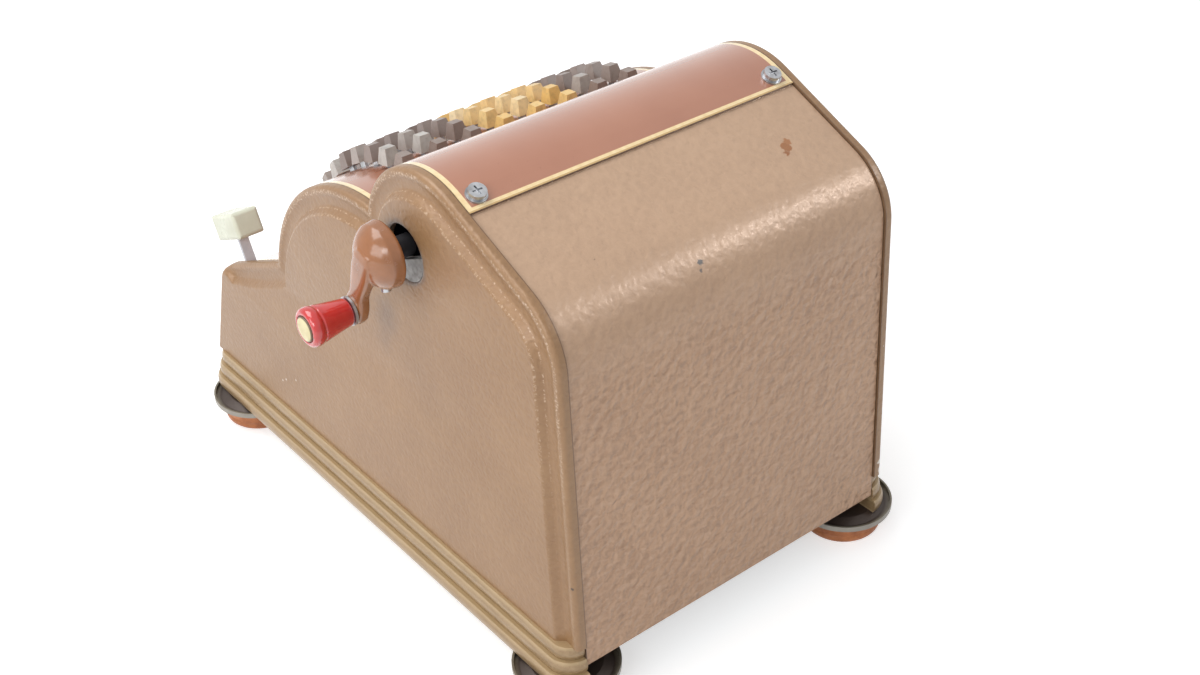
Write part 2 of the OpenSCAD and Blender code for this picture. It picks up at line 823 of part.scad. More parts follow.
module sector(c) {
    x0 = column_x(c) + sector_off;
    translate([0, hump1_y, hump1_z]) {
        across(x0, x0 + sector_t) sector_plate();
        across(x0 - sector_off - stem_t / 2, x0 + tiny) rotate(tab_a)
            translate([tab_r - 6, sector_arm_w / 2 - sector_t]) square([6, sector_t]);
    }
}
module adding_sectors() {
    in_frame() color("Goldenrod") for (c = [1 : key_cols]) sector(c);
}
module sector_bail() {
    p = hump1 + bail_out * unit_at(register_a + sector_sweep / 2);
    x1 = column_x(key_cols) + sector_off + sector_t;
    x0 = column_x(1) - 3;
    in_frame() color("Silver") rod(x0, x1, p, bail_r);
}
module sector_shaft() {
    in_frame() color("Silver") rod(-frame_out - 1, frame_out + 1, hump1, sector_shaft_r);
}
module register_shaft() {
    in_frame() color("Silver") rod(-frame_out - 1, frame_out + 1, register_at, register_shaft_r);
}

// number wheels
module number_wheel(c) {
    gear_x = column_x(c) + sector_off - 0.4;
    gear_w = sector_t + 0.8;
    mesh_a = register_a + 180 + 180 / pinion_teeth;
    in_frame() color("WhiteSmoke") difference() {
        union() {
            across(gear_x, gear_x + gear_w) translate(register_at) rotate(mesh_a)
                gear(pinion_teeth, register_module);
            rod(gear_x - 0.8 - dial_w, gear_x - 0.8, register_at, dial_r);
            rod(gear_x - 1, gear_x + 1, register_at, register_shaft_r + 3);
        }
        rod(gear_x - dial_w - 2, gear_x + gear_w + 1, register_at, register_shaft_r + run_clear);
    }
}
module register_window() {
    spread = 14;
    in_frame() color("LightCyan") across(-frame_x, frame_x) translate(hump2) intersection() {
        difference() {
            circle(hump2_r - plate_t);
            circle(hump2_r - plate_t - glass_t);
        }
        polygon([
            [0, 0],
            far * unit_at(180 - register_up - spread),
            far * unit_at(180 - register_up + spread)
        ]);
    }
}

// crank drive
module drive_gear() {
    in_frame() color("Goldenrod") difference() {
        across(drive_x, drive_x + drive_w) translate(crank_at) rotate(cam_a) gear(drive_teeth, drive_module);
        rod(0, far, crank_at, crankshaft_r);
    }
}
module cam_wheel() {
    cam_r = 9;
    cam_w = 3;
    in_frame() color("Goldenrod") difference() {
        union() {
            across(drive_x, drive_x + drive_w) translate(cam_at) rotate(cam_a + 180 + 180 / drive_teeth)
                gear(drive_teeth, drive_module);
            rod(drive_x, drive_x + drive_w + cam_w, cam_at + [cam_r / 3, 0], cam_r);
        }
        rod(0, far, cam_at, stud_r + run_clear);
    }
}
module cam_stud() {
    head_w = 1.5;
    x1 = drive_x + drive_w + 3.2;
    in_frame() color("Silver") {
        rod(frame_x, x1 + tiny, cam_at, stud_r);
        rod(x1, x1 + head_w, cam_at, stud_r + 2);
        rod(frame_out, drive_x - 0.2, cam_at, stud_r + 2);
    }
}
module crank_bush() {
    shelf_lean = 26;
    shelf_down = 2.8;
    in_frame() color("Silver") difference() {
        union() {
            rod(half_w + pocket_depth - 3, half_w + pocket_depth, hole_at, bush_flange_r);
            rod(half_w + pocket_depth - 1, half_w + cheek_t - 0.5, hole_at, bush_r);
        }
        rod(0, far, crank_at, crankshaft_r + run_clear);
        translate([half_w + pocket_depth + 0.5, hole_y, hole_z]) rotate([shelf_lean, 0, 0])
            translate([0, -bush_r - 1, -shelf_down]) cube([cheek_t, 2 * bush_r + 2, 2 * bush_r]);
    }
}
module crankshaft() {
    in_frame() color("Silver") difference() {
        rod(frame_x - 1, arm_x, crank_at, crankshaft_r);
        pin_bore();
    }
}
module pin_bore() {
    translate([hub_x + 3.5, crank_y, crank_z]) rotate([0, 0, 0]) rotate([188, 0, 0])
        translate([0, 0, -3]) cylinder(r = pin_r, h = hub_r + 4.4);
}
module crank_pin() {
    in_frame() color("Silver") pin_bore();
}
module arm_outline() {
    d = arm_end - crank_at;
    across_d = [-d[1], d[0]] / norm(d);
    polygon([
        crank_at + across_d * arm_root_r,
        crank_at - across_d * arm_root_r,
        arm_end - across_d * arm_end_r,
        arm_end + across_d * arm_end_r
    ]);
    translate(arm_end) circle(arm_end_r);
}
module hub_section(r, l, dome_r) {
    intersection() {
        square([r, l]);
        translate([0, l - dome_r]) circle(dome_r);
    }
}
module crank_arm() {
    dome_r = (hub_r * hub_r + hub_dome * hub_dome) / (2 * hub_dome);
    in_frame() color("SaddleBrown") difference() {
        union() {
            turned(hub_x, crank_at) difference() {
                union() {
                    hub_section(hub_r, hub_l, dome_r);
                    square([hub_pad_r, hub_l]);
                }
                difference() {
                    translate([0, -tiny]) hub_section(hub_r - hub_wall, hub_l - hub_wall, dome_r - hub_wall);
                    square([hub_boss_r, hub_l]);
                }
            }
            across(arm_x, arm_x + arm_t) arm_outline();
        }
        rod(0, arm_x, crank_at, crankshaft_r);
        rod(0, far, arm_end, spindle_r);
        pin_bore();
    }
}
module grip_spindle() {
    head_w = 2;
    head_r = 4;
    in_frame() color("Silver") {
        rod(arm_x, grip_end_x - 5, arm_end, spindle_r);
        rod(grip_end_x - 5 - tiny, grip_end_x - 5 + head_w, arm_end, head_r);
    }
}
module grip_ferrule() {
    in_frame() color("Silver") difference() {
        rod(spindle_x, spindle_x + ferrule_l, arm_end, ferrule_r);
        rod(0, far, arm_end, spindle_r);
    }
}
module grip() {
    bore = spindle_r + run_clear;
    pocket_r = 4.3;
    in_frame() color("Firebrick") turned(grip_x, arm_end) difference() {
        union() {
            polygon([
                [0, 0],
                [grip_r0 - 1, 0],
                [grip_r0 - 0.4, grip_band],
                [grip_r1 - 0.4, grip_l - grip_band],
                [grip_r1 - 1.2, grip_l],
                [0, grip_l]
            ]);
            translate([grip_r0 - grip_band, grip_band]) circle(grip_band);
            translate([grip_r1 - grip_band, grip_l - grip_band]) circle(grip_band);
        }
        translate([-1, -1]) square([bore + 1, grip_l + 2]);
        translate([-1, grip_l - 5 - run_clear]) square([pocket_r + 1, 6]);
        translate([-1, grip_l - grip_cap_l + 1]) square([grip_cap_r + 1, grip_cap_l]);
    }
}
module grip_cap() {
    in_frame() color("Ivory") rod(grip_end_x - grip_cap_l + 1, grip_end_x + 1, arm_end, grip_cap_r);
}

// rows and wheels, one node each
module key_caps_1() { key_caps(1); }
module key_caps_2() { key_caps(2); }
module key_caps_3() { key_caps(3); }
module key_caps_4() { key_caps(4); }
module key_caps_5() { key_caps(5); }
module key_caps_6() { key_caps(6); }
module key_caps_7() { key_caps(7); }
module key_caps_8() { key_caps(8); }
module key_caps_9() { key_caps(9); }
module key_stems_1() { key_stems(1); }
module key_stems_2() { key_stems(2); }
module key_stems_3() { key_stems(3); }
module key_stems_4() { key_stems(4); }
module key_stems_5() { key_stems(5); }
module key_stems_6() { key_stems(6); }
module key_stems_7() { key_stems(7); }
module key_stems_8() { key_stems(8); }
module key_stems_9() { key_stems(9); }
module number_wheel_1() { number_wheel(1); }
module number_wheel_2() { number_wheel(2); }
module number_wheel_3() { number_wheel(3); }
module number_wheel_4() { number_wheel(4); }
module number_wheel_5() { number_wheel(5); }
module number_wheel_6() { number_wheel(6); }
module number_wheel_7() { number_wheel(7); }
module number_wheel_8() { number_wheel(8); }

right_cheek();
left_cheek();
right_plinth();
left_plinth();
rear_cover();
top_plate();
front_cover();
base_plate();
foot_cups();
foot_rubbers();
foot_screws();
cover_screws();
cover_washers();
side_frames();
tie_bars();
key_guide();
register_window();
sector_shaft();
register_shaft();
cam_stud();
crank_bush();
key_caps_1();
key_caps_2();
key_caps_3();
key_caps_4();
key_caps_5();
key_caps_6();
key_caps_7();
key_caps_8();
key_caps_9();
key_stems_1();
key_stems_2();
key_stems_3();
key_stems_4();
key_stems_5();
key_stems_6();
key_stems_7();
key_stems_8();
key_stems_9();
clearing_key();
clearing_stem();
adding_sectors();
sector_bail();
number_wheel_1();
number_wheel_2();
number_wheel_3();
number_wheel_4();
number_wheel_5();
number_wheel_6();
number_wheel_7();
number_wheel_8();
drive_gear();
cam_wheel();
crankshaft();
crank_arm();
crank_pin();
grip_spindle();
grip_ferrule();
grip();
grip_cap();
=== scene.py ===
import math

import bpy
from mathutils import Matrix, Vector
from mathutils.geometry import tessellate_polygon


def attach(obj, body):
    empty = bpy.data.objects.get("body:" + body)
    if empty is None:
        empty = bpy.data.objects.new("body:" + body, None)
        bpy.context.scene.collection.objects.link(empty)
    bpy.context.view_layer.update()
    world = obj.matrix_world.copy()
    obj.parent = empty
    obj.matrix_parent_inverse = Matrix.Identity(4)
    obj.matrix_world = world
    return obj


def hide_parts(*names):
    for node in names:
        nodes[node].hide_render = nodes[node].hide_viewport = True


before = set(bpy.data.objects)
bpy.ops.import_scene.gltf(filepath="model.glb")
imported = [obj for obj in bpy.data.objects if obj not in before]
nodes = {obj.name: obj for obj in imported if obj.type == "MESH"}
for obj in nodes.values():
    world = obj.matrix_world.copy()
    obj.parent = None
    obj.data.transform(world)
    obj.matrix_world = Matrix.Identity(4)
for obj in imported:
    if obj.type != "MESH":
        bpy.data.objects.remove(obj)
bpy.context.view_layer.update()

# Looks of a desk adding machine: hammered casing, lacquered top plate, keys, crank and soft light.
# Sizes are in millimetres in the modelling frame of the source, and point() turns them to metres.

# casing
BODY_W = 178.0
HALF_W = BODY_W / 2
SEAM_GAP = 0.2
LEDGE_Z = 36.0
SHEET_X = HALF_W - SEAM_GAP

# cheeks: a rim, the step up to the raised field, and a pocket behind the field
RIM_T = 5.0
RIM_R = 2.5
RIM_RINGS = 8
SEAM_RING = 0.4
CHEEK_T = 8.0
STEP_FOOT = 8.6
STEP_LOW = 4.2
STEP_IN = 13.2
STEP_RINGS = 12
FRONT_EDGE_R = 2.5
POCKET_DEPTH = 4.0
POCKET_IN = 12.0
POCKET_Z = LEDGE_Z + 4.0

# the rim's top as it falls to the step: (distance inside the outline, height above the seam)
RIM_TOP = ((3.3, RIM_T - 0.05), (4.2, RIM_T - 0.35), (5.2, RIM_T - 0.65), (6.8, STEP_LOW + 0.05))

# side outline, each centre as (toward the back, height)
HUMP1 = Vector((6.6, 108.6))
HUMP1_R = 86.2
HUMP2 = Vector((57.7, 182.5))
HUMP2_R = 46.0
CORNER = Vector((111.7, 173.0))
CORNER_R = 33.7
REAR_LEAN = 2.84
DECK_SLOPE = 26.0
DECK_D = 145.7
FRONT_LEAN = 18.4
FRONT_D = 160.1
FRONT_R = 18.0

# crank
CRANK = Vector((45.0, 191.0))
HOLE = Vector((46.0, 188.0))
HOLE_R = 13.0
HOLE_LIP = 1.2
LIP_RINGS = 4
HOLE_STEPS = 64
SHELF_LEAN = 26.0
SHELF_DOWN = 2.8
SHELF_EDGE = (0.2, 0.5)
HUB_X = HALF_W + 15.5
HUB_R = 15.1
HUB_L = 14.1
HUB_DOME = 9.8
HUB_EDGE = 1.2
HUB_EDGE_MID = 0.4
HUB_RINGS = 12
ARM_X = HALF_W + 23.0
ARM_T = 6.7
ARM_END_R = 6.1
CRANK_THROW = 30.1
CRANK_LEAN = 21.6
GRIP_GAP = 1.25
GRIP_X = ARM_X + ARM_T + GRIP_GAP
GRIP_L = 21.0
DISC_SINK = 0.6
TURN_STEPS = 72

# the arm down from the crank's axis: (distance, half width, half depth)
ARM_STATIONS = (
    (-6.0, 4.6, 2.6), (-2.0, 6.4, 3.3), (6.0, 6.6, 3.35), (13.0, 5.6, 3.3), (18.0, 4.7, 3.2),
    (21.5, 4.7, 3.2), (24.5, 5.6, 3.3), (28.0, ARM_END_R + 0.2, 3.35), (32.0, ARM_END_R + 0.2, 3.35),
    (35.2, 5.2, 3.3), (36.8, 3.6, 3.1),
)
ARM_STEPS = 24
ARM_SQUARE = 0.6

# the grip with the collar at its outer end: (distance out, radius)
GRIP_PROFILE = (
    (0.0, 0.0), (0.0, 5.0), (0.15, 5.7), (0.6, 6.15), (1.4, 6.3), (5.0, 6.85), (10.0, 7.65),
    (14.4, 8.4), (14.9, 8.42), (15.2, 8.25), (15.5, 8.3), (15.9, 8.6), (16.6, 8.85), (17.6, 8.95),
    (18.8, 8.9), (19.8, 8.6), (20.5, 8.1), (20.9, 7.4), (GRIP_L, 6.7), (20.8, 6.3), (20.2, 6.2),
    (19.6, 6.2), (19.6, 0.0),
)

# the disc in the grip's end: (distance out, radius)
DISC_PROFILE = (
    (0.0, 0.0), (0.0, 5.8), (0.6, 5.8), (0.95, 5.5), (1.2, 4.8), (1.4, 3.4), (1.5, 1.7), (1.52, 0.0),
)

# the dark line round the disc begins and is full at these radii
DISC_RING = (5.0, 5.5)

# rear edge of the top plate, measured down the slope from where it starts
SCREW_DOWN = 2.9
PLATE_PAST = 7.1

# gold line on the plate; its darker part, painted shade on the plate's rear edge face, and the cut edge
# begin this far above the plate's end
GOLD_W = 2.5
GOLD_FADE = 0.15
GOLD_EDGE_SHADE = (0.95, 0.75)
GOLD_CUT = (0.12, 0.06)

# ribs of the plinth, whose pale corners, painted light with a worn look, fade out between these
# distances from their corners
RIB_FOOT_Z = 15.0
RIB_PITCH = 7.0
RIB_LIT = (0.5, 1.6)

# feet
FOOT_X = 87.0
FOOT_Y = 134.6
CUP_R = 24.5
CUP_TROUGH = (CUP_R - 3.4, CUP_R - 1.2)
CUP_EDGE = (CUP_R - 0.25, CUP_R - 0.1)

# keyboard, whose amber columns lie between these two, counted from the middle
KEY_PITCH = 18.35
KEY_ROWS = 9
AMBER_COLUMNS = (-2, 1)
WHEELS = 8

# how far red, green and blue light spread in a cap, before the shader's own scale
CAP_GLOW = (0.004, 0.003, 0.002)

# the overall box of the source is centred on the origin
SHIFT_X = -15.725
SHIFT_Y = 0.7
MM = 0.001


def point(x, y, z):
    return Vector(((x + SHIFT_X) * MM, (y + SHIFT_Y) * MM, z * MM))


def unit(degrees):
    a = math.radians(degrees)
    return Vector((math.cos(a), math.sin(a)))


def across(v):
    return Vector((-v.y, v.x))


def meet(n1, d1, n2, d2):
    """Where two lines cross, each given by its normal and its distance from the frame's origin."""
    det = n1.x * n2.y - n1.y * n2.x
    return Vector(((d1 * n2.y - n1.y * d2) / det, (n1.x * d2 - d1 * n2.x) / det))


def angle_of(v):
    return math.degrees(math.atan2(v.y, v.x))


DECK_N = unit(90 + DECK_SLOPE)
FRONT_N = unit(180 - FRONT_LEAN)
REAR_N = unit(REAR_LEAN)
REAR_D = REAR_N.dot(CORNER) + CORNER_R
SPAN = CORNER - HUMP2
SLOPE_A = angle_of(SPAN) + math.degrees(math.acos((HUMP2_R - CORNER_R) / SPAN.length))
SLOPE_N = unit(SLOPE_A)
SLOPE_T = unit(SLOPE_A - 90)
SLOPE_START = HUMP2 + SLOPE_N * HUMP2_R
FRONT_CENTRE = meet(DECK_N, DECK_D - FRONT_R, FRONT_N, FRONT_D - FRONT_R)
GRIP_AT = CRANK + unit(270 - CRANK_LEAN) * CRANK_THROW


def on_line(n, d, z):
    return Vector(((d - n.y * z) / n.x, z))


def deck_join(inset):
    """Where the deck line meets the keyboard hump, both drawn this far inside the outline."""
    h = DECK_D - inset - DECK_N.dot(HUMP1)
    return HUMP1 + DECK_N * h + across(DECK_N) * math.sqrt((HUMP1_R - inset) ** 2 - h * h)


def valley(inset):
    """Where the two humps meet, both drawn this far inside the outline."""
    gap = HUMP2 - HUMP1
    r1, r2 = HUMP1_R - inset, HUMP2_R - inset
    share = (r1 * r1 - r2 * r2 + gap.length_squared) / (2 * gap.length)
    rise = math.sqrt(r1 * r1 - share * share)
    return HUMP1 + gap.normalized() * share + across(gap.normalized()) * rise


def line(a, b, count):
    return [a + (b - a) * i / count for i in range(count)]


def arc(centre, r, a0, a1, count):
    return [centre + unit(a0 + (a1 - a0) * i / count) * r for i in range(count)]


# points on each stretch of the outline, and where along it the front's section fades out
FRONT_POINTS = 10
FRONT_TURN = 20
DECK_POINTS = 14
HUMP1_POINTS = 60
HUMP2_POINTS = 40
SLOPE_POINTS = 12
CORNER_POINTS = 40
REAR_POINTS = 16
BAND_START = 5
BAND_LENGTH = 24


def cheek_outline(inset, bottom=LEDGE_Z):
    """Points from the foot of the front edge over both humps to the foot of the rear edge."""
    join, dip = deck_join(inset), valley(inset)
    dip_a = angle_of(dip - HUMP2)
    while dip_a < SLOPE_A:
        dip_a += 360
    slope_end = CORNER + SLOPE_N * (CORNER_R - inset)
    rear_top = CORNER + REAR_N * (CORNER_R - inset)
    front_top = FRONT_CENTRE + FRONT_N * (FRONT_R - inset)
    deck_top = FRONT_CENTRE + DECK_N * (FRONT_R - inset)
    return (
        line(on_line(FRONT_N, FRONT_D - inset, bottom), front_top, FRONT_POINTS)
        + arc(FRONT_CENTRE, FRONT_R - inset, 180 - FRONT_LEAN, 90 + DECK_SLOPE, FRONT_TURN)
        + line(deck_top, join, DECK_POINTS)
        + arc(HUMP1, HUMP1_R - inset, angle_of(join - HUMP1), angle_of(dip - HUMP1), HUMP1_POINTS)
        + arc(HUMP2, HUMP2_R - inset, dip_a, SLOPE_A, HUMP2_POINTS)
        + line(HUMP2 + SLOPE_N * (HUMP2_R - inset), slope_end, SLOPE_POINTS)
        + arc(CORNER, CORNER_R - inset, SLOPE_A, REAR_LEAN, CORNER_POINTS)
        + line(rear_top, on_line(REAR_N, REAR_D - inset, bottom), REAR_POINTS)
        + [on_line(REAR_N, REAR_D - inset, bottom)]
    )


def new_piece(name, vertices, faces, sharp=40):
    """A smooth-shaded piece, whose edges sharper than sharp degrees stay crisp."""
    mesh = bpy.data.meshes.new(name)
    mesh.from_pydata([tuple(v) for v in vertices], [], faces)
    mesh.update()
    piece = bpy.data.objects.new(name, mesh)
    bpy.context.scene.collection.objects.link(piece)
    mesh.shade_smooth()
    mesh.set_sharp_from_angle(angle=math.radians(sharp))
    return piece


class Shell:
    """Collects vertices and faces of one piece."""

    def __init__(self):
        self.vertices = []
        self.faces = []

    def ring(self, points):
        start = len(self.vertices)
        self.vertices.extend(points)
        return list(range(start, len(self.vertices)))

    def strip(self, a, b, closed=False):
        count = len(a)
        for i in range(count if closed else count - 1):
            j = (i + 1) % count
            self.faces.append((a[i], a[j], b[j], b[i]))

    def fill(self, loops):
        """Fills a flat region whose first loop is its border and the others its holes."""
        flat = [i for loop in loops for i in loop]
        for triangle in tessellate_polygon([[self.vertices[i] for i in loop] for loop in loops]):
            self.faces.append(tuple(flat[i] for i in triangle))


def cheek_profile():
    """The cheek's section: (distance inside the outline, height above the seam)."""
    section = [(0.0, 0.0), (0.0, SEAM_RING), (0.0, RIM_T - RIM_R)]
    for i in range(1, RIM_RINGS + 1):
        a = math.radians(90 * i / RIM_RINGS)
        section.append((RIM_R - RIM_R * math.cos(a), RIM_T - RIM_R + RIM_R * math.sin(a)))
    section.extend(RIM_TOP)
    for i in range(STEP_RINGS + 1):
        t = i / STEP_RINGS
        rise = t * t * (3 - 2 * t)
        section.append((STEP_FOOT + (STEP_IN - STEP_FOOT) * t, STEP_LOW + (CHEEK_T - STEP_LOW) * rise))
    return section


def front_section(share):
    """The section along the front edge, where the full thickness reaches the edge."""
    straight = 0.3
    if share < straight:
        return 0.0, share / straight * (CHEEK_T - FRONT_EDGE_R)
    a = math.radians(90 * (share - straight) / (1 - straight))
    return FRONT_EDGE_R * (1 - math.cos(a)), CHEEK_T - FRONT_EDGE_R * (1 - math.sin(a))


def cheek_ring(inset, height, share):
    """One line round the cheek: (height above the seam, point), running out along the front."""
    front_inset, front_height = front_section(share)
    ring = []
    for i, (p, q) in enumerate(zip(cheek_outline(front_inset), cheek_outline(inset))):
        w = min(max((i - FRONT_POINTS - BAND_START) / BAND_LENGTH, 0.0), 1.0)
        w = w * w * (3 - 2 * w)
        ring.append((front_height + (height - front_height) * w, p + (q - p) * w))
    return ring


def build_cheek(name, side):
    """One cheek as a closed shell. side is +1 on the crank's side, which has the crank's hole."""
    shell = Shell()

    def at(h, p):
        return point(side * (HALF_W + h), p.x, p.y)

    section = cheek_profile()
    rings = []
    for i, (inset, height) in enumerate(section):
        ring = cheek_ring(inset, height, i / (len(section) - 1))
        rings.append(shell.ring([at(h, p) for h, p in ring]))
    for a, b in zip(rings, rings[1:]):
        shell.strip(a, b)
    shell.faces.append(tuple([r[0] for r in rings] + [r[-1] for r in reversed(rings)]))
    pocket_outline = cheek_outline(POCKET_IN, POCKET_Z)
    pocket_foot = shell.ring([at(0, p) for p in pocket_outline])
    pocket_top = shell.ring([at(POCKET_DEPTH, p) for p in pocket_outline])
    shell.strip(pocket_foot, pocket_top, closed=True)
    shell.fill([rings[0], pocket_foot])
    if side < 0:
        shell.fill([rings[-1]])
        shell.fill([pocket_top])
        return new_piece(name, shell.vertices, shell.faces)

    def hole_ring(h, r):
        return shell.ring([at(h, HOLE + unit(360 * j / HOLE_STEPS) * r) for j in range(HOLE_STEPS)])

    lip = []
    for i in range(LIP_RINGS + 1):
        a = math.radians(90 * i / LIP_RINGS)
        height = CHEEK_T - HOLE_LIP * (1 - math.cos(a))
        radius = HOLE_R + HOLE_LIP * (1 - math.sin(a))
        lip.append(hole_ring(height, radius))
    lip.append(hole_ring(POCKET_DEPTH, HOLE_R))
    for a, b in zip(lip, lip[1:]):
        shell.strip(a, b, closed=True)
    shell.fill([rings[-1], lip[0]])
    shell.fill([pocket_top, lip[-1]])
    return new_piece(name, shell.vertices, shell.faces)


def outward(piece):
    """Turns every face of a closed shell to the outside."""
    bpy.context.view_layer.objects.active = piece
    piece.select_set(True)
    bpy.ops.object.mode_set(mode="EDIT")
    bpy.ops.mesh.select_all(action="SELECT")
    bpy.ops.mesh.normals_make_consistent(inside=False)
    bpy.ops.object.mode_set(mode="OBJECT")
    piece.select_set(False)
    return piece


def colour(r, g, b):
    """A colour written as it should look on the screen, 0 to 255, as the shader wants it."""
    def channel(v):
        v /= 255
        return v / 12.92 if v <= 0.04045 else ((v + 0.055) / 1.055) ** 2.4
    return (channel(r), channel(g), channel(b), 1.0)


class Surface:
    """One procedural material, written node by node."""

    def __init__(self, name, rough=0.5, metallic=0.0, **sockets):
        self.material = bpy.data.materials.new(name)
        self.material.use_nodes = True
        self.tree = self.material.node_tree
        self.shader = self.tree.nodes["Principled BSDF"]
        self.set("Roughness", rough)
        self.set("Metallic", metallic)
        for socket, value in sockets.items():
            self.set(socket.replace("_", " "), value)
        self.place = self.node("ShaderNodeTexCoord").outputs["Object"]

    def node(self, kind, **settings):
        made = self.tree.nodes.new(kind)
        for name, value in settings.items():
            setattr(made, name, value)
        return made

    def set(self, socket, value):
        self.shader.inputs[socket].default_value = value

    def feed(self, socket, source):
        if isinstance(source, bpy.types.NodeSocket):
            self.tree.links.new(source, socket)
        else:
            socket.default_value = source

    def to(self, socket, source):
        self.feed(self.shader.inputs[socket], source)

    def math(self, operation, a, b=0.0):
        made = self.node("ShaderNodeMath", operation=operation)
        self.feed(made.inputs[0], a)
        self.feed(made.inputs[1], b)
        return made.outputs[0]

    def weigh(self, *parts):
        """The sum of (value, weight) parts."""
        total = self.math("MULTIPLY", *parts[0])
        for part in parts[1:]:
            total = self.math("ADD", total, self.math("MULTIPLY", *part))
        return total

    def hypotenuse(self, a, b):
        squares = self.math("ADD", self.math("MULTIPLY", a, a), self.math("MULTIPLY", b, b))
        return self.math("SQRT", squares)

    def vector(self, operation, a, b=(0, 0, 0), out="Vector"):
        made = self.node("ShaderNodeVectorMath", operation=operation)
        self.feed(made.inputs[0], a)
        if operation == "SCALE":
            self.feed(made.inputs["Scale"], b)
        else:
            self.feed(made.inputs[1], b)
        return made.outputs[out]

    def noise(self, size, detail=3.0, rough=0.5, place=None):
        """Noise whose features are about size millimetres wide, from 0 to 1."""
        made = self.node("ShaderNodeTexNoise", noise_dimensions="4D")
        self.feed(made.inputs["Vector"], self.place if place is None else place)
        made.inputs["Scale"].default_value = 1 / (size * MM)
        made.inputs["Detail"].default_value = detail
        made.inputs["Roughness"].default_value = rough
        return made.outputs["Fac"]

    def cells(self, size, place):
        """Soft round cells about size millimetres wide: the distance from each cell's middle."""
        made = self.node("ShaderNodeTexVoronoi", feature="SMOOTH_F1")
        self.feed(made.inputs["Vector"], place)
        made.inputs["Scale"].default_value = 1 / (size * MM)
        made.inputs["Smoothness"].default_value = 0.6
        return made.outputs["Distance"]

    def wobble(self, size, reach):
        """The place, moved about by up to reach millimetres."""
        made = self.node("ShaderNodeTexNoise")
        self.feed(made.inputs["Vector"], self.place)
        made.inputs["Scale"].default_value = 1 / (size * MM)
        made.inputs["Detail"].default_value = 2.0
        centred = self.vector("SUBTRACT", made.outputs["Color"], (0.5, 0.5, 0.5))
        moved = self.vector("SCALE", centred, reach * MM * 2)
        return self.vector("ADD", self.place, moved)

    def ramp(self, fac, stops):
        made = self.node("ShaderNodeValToRGB")
        self.feed(made.inputs["Fac"], fac)
        ramp = made.color_ramp
        while len(ramp.elements) < len(stops):
            ramp.elements.new(0.5)
        for element, (position, value) in zip(ramp.elements, stops):
            element.position = position
            element.color = value
        return made.outputs["Color"]

    def span(self, fac, low, high, out_low=0.0, out_high=1.0):
        """Stretches fac from low..high to out_low..out_high, and stops there."""
        made = self.node("ShaderNodeMapRange")
        self.feed(made.inputs["Value"], fac)
        made.inputs["From Min"].default_value = low
        made.inputs["From Max"].default_value = high
        made.inputs["To Min"].default_value = out_low
        made.inputs["To Max"].default_value = out_high
        return made.outputs["Result"]

    def between(self, fac, ends, out_low=0.0, out_high=1.0):
        """As span, with both ends in millimetres."""
        return self.span(fac, ends[0] * MM, ends[1] * MM, out_low, out_high)

    def mix(self, fac, a, b):
        made = self.node("ShaderNodeMix", data_type="RGBA")
        self.feed(made.inputs["Factor"], fac)
        self.feed(made.inputs["A"], a)
        self.feed(made.inputs["B"], b)
        return made.outputs["Result"]

    def bump(self, height, depth, below=None):
        """Dents depth millimetres deep, laid over the ones in below."""
        made = self.node("ShaderNodeBump")
        self.feed(made.inputs["Height"], height)
        made.inputs["Distance"].default_value = depth * MM
        made.inputs["Strength"].default_value = 1.0
        if below is not None:
            self.feed(made.inputs["Normal"], below)
        return made.outputs["Normal"]

    def axis(self, index):
        split = self.node("ShaderNodeSeparateXYZ")
        self.feed(split.inputs[0], self.place)
        return split.outputs[index]

    def from_middle(self):
        """Distance to either side of the machine's middle."""
        return self.math("ABSOLUTE", self.math("SUBTRACT", self.axis(0), SHIFT_X * MM))

    def near(self, centre, radius, edge, place):
        """1 within radius millimetres of a point, fading to 0 over edge millimetres."""
        away = self.vector("DISTANCE", place, centre, out="Value")
        return self.between(away, (radius, radius + edge), 1.0, 0.0)


# tints of dirt, wear, painted shade and painted highlight in the hammered paint, and where they lie, in
# millimetres: painted shade beside the seams, darker patches, pale crest lines that are partly wear and
# partly painted highlight, painted shade and highlight on the dimples' slopes, and a painted sheen that
# makes the cover's top paler
SEAM_SHADE_TINT = colour(62, 44, 36)
PATCH_TINT = colour(92, 82, 80)
CHIPPED_AND_LIT_TINT = colour(214, 188, 164)
DIMPLE_SHADE = colour(120, 88, 66)
DIMPLE_HIGHLIGHT = colour(214, 180, 152)
TOP_SHEEN = colour(212, 188, 164)
TOP_SHEEN_OVER = 8.0
LIGHT_SHIFT = Vector((0.9, 0, 1.1)) * MM
WORN_AND_LIT_HEIGHTS = (110.0, 160.0)
WORN_AND_LIT_RISE = 0.2
WORN_AND_LIT_FALL = 0.1


def spots(s, base, marks):
    """Lays small marks on a colour: each is (place, radius, colour)."""
    ragged = s.wobble(size=1.6, reach=1.1)
    for centre, radius, tint in marks:
        base = s.mix(s.near(centre, radius, edge=0.5, place=ragged), base, tint)
    return base


def worn_and_lit_edges(s, base, away, worn_and_lit):
    """Pale lines along the crests, partly chipped paint and partly painted highlight, mostly high up:
    each line is (low, high, strength), from the machine's middle.
    """
    speckle = s.span(s.noise(1.3, detail=4.0, rough=0.6), 0.5, 0.62)
    higher = s.between(s.axis(2), WORN_AND_LIT_HEIGHTS, 0.15, 1.0)
    for low, high, strength in worn_and_lit:
        rise = s.between(away, (low - WORN_AND_LIT_RISE, low))
        fall = s.between(away, (high, high + WORN_AND_LIT_FALL), 1.0, 0.0)
        on_edge = s.math("MULTIPLY", s.math("MULTIPLY", rise, fall), strength)
        on_edge = s.math("MULTIPLY", on_edge, higher)
        # pale crest line: chipped paint and a painted highlight
        base = s.mix(s.math("MULTIPLY", on_edge, speckle), base, CHIPPED_AND_LIT_TINT)
    return base


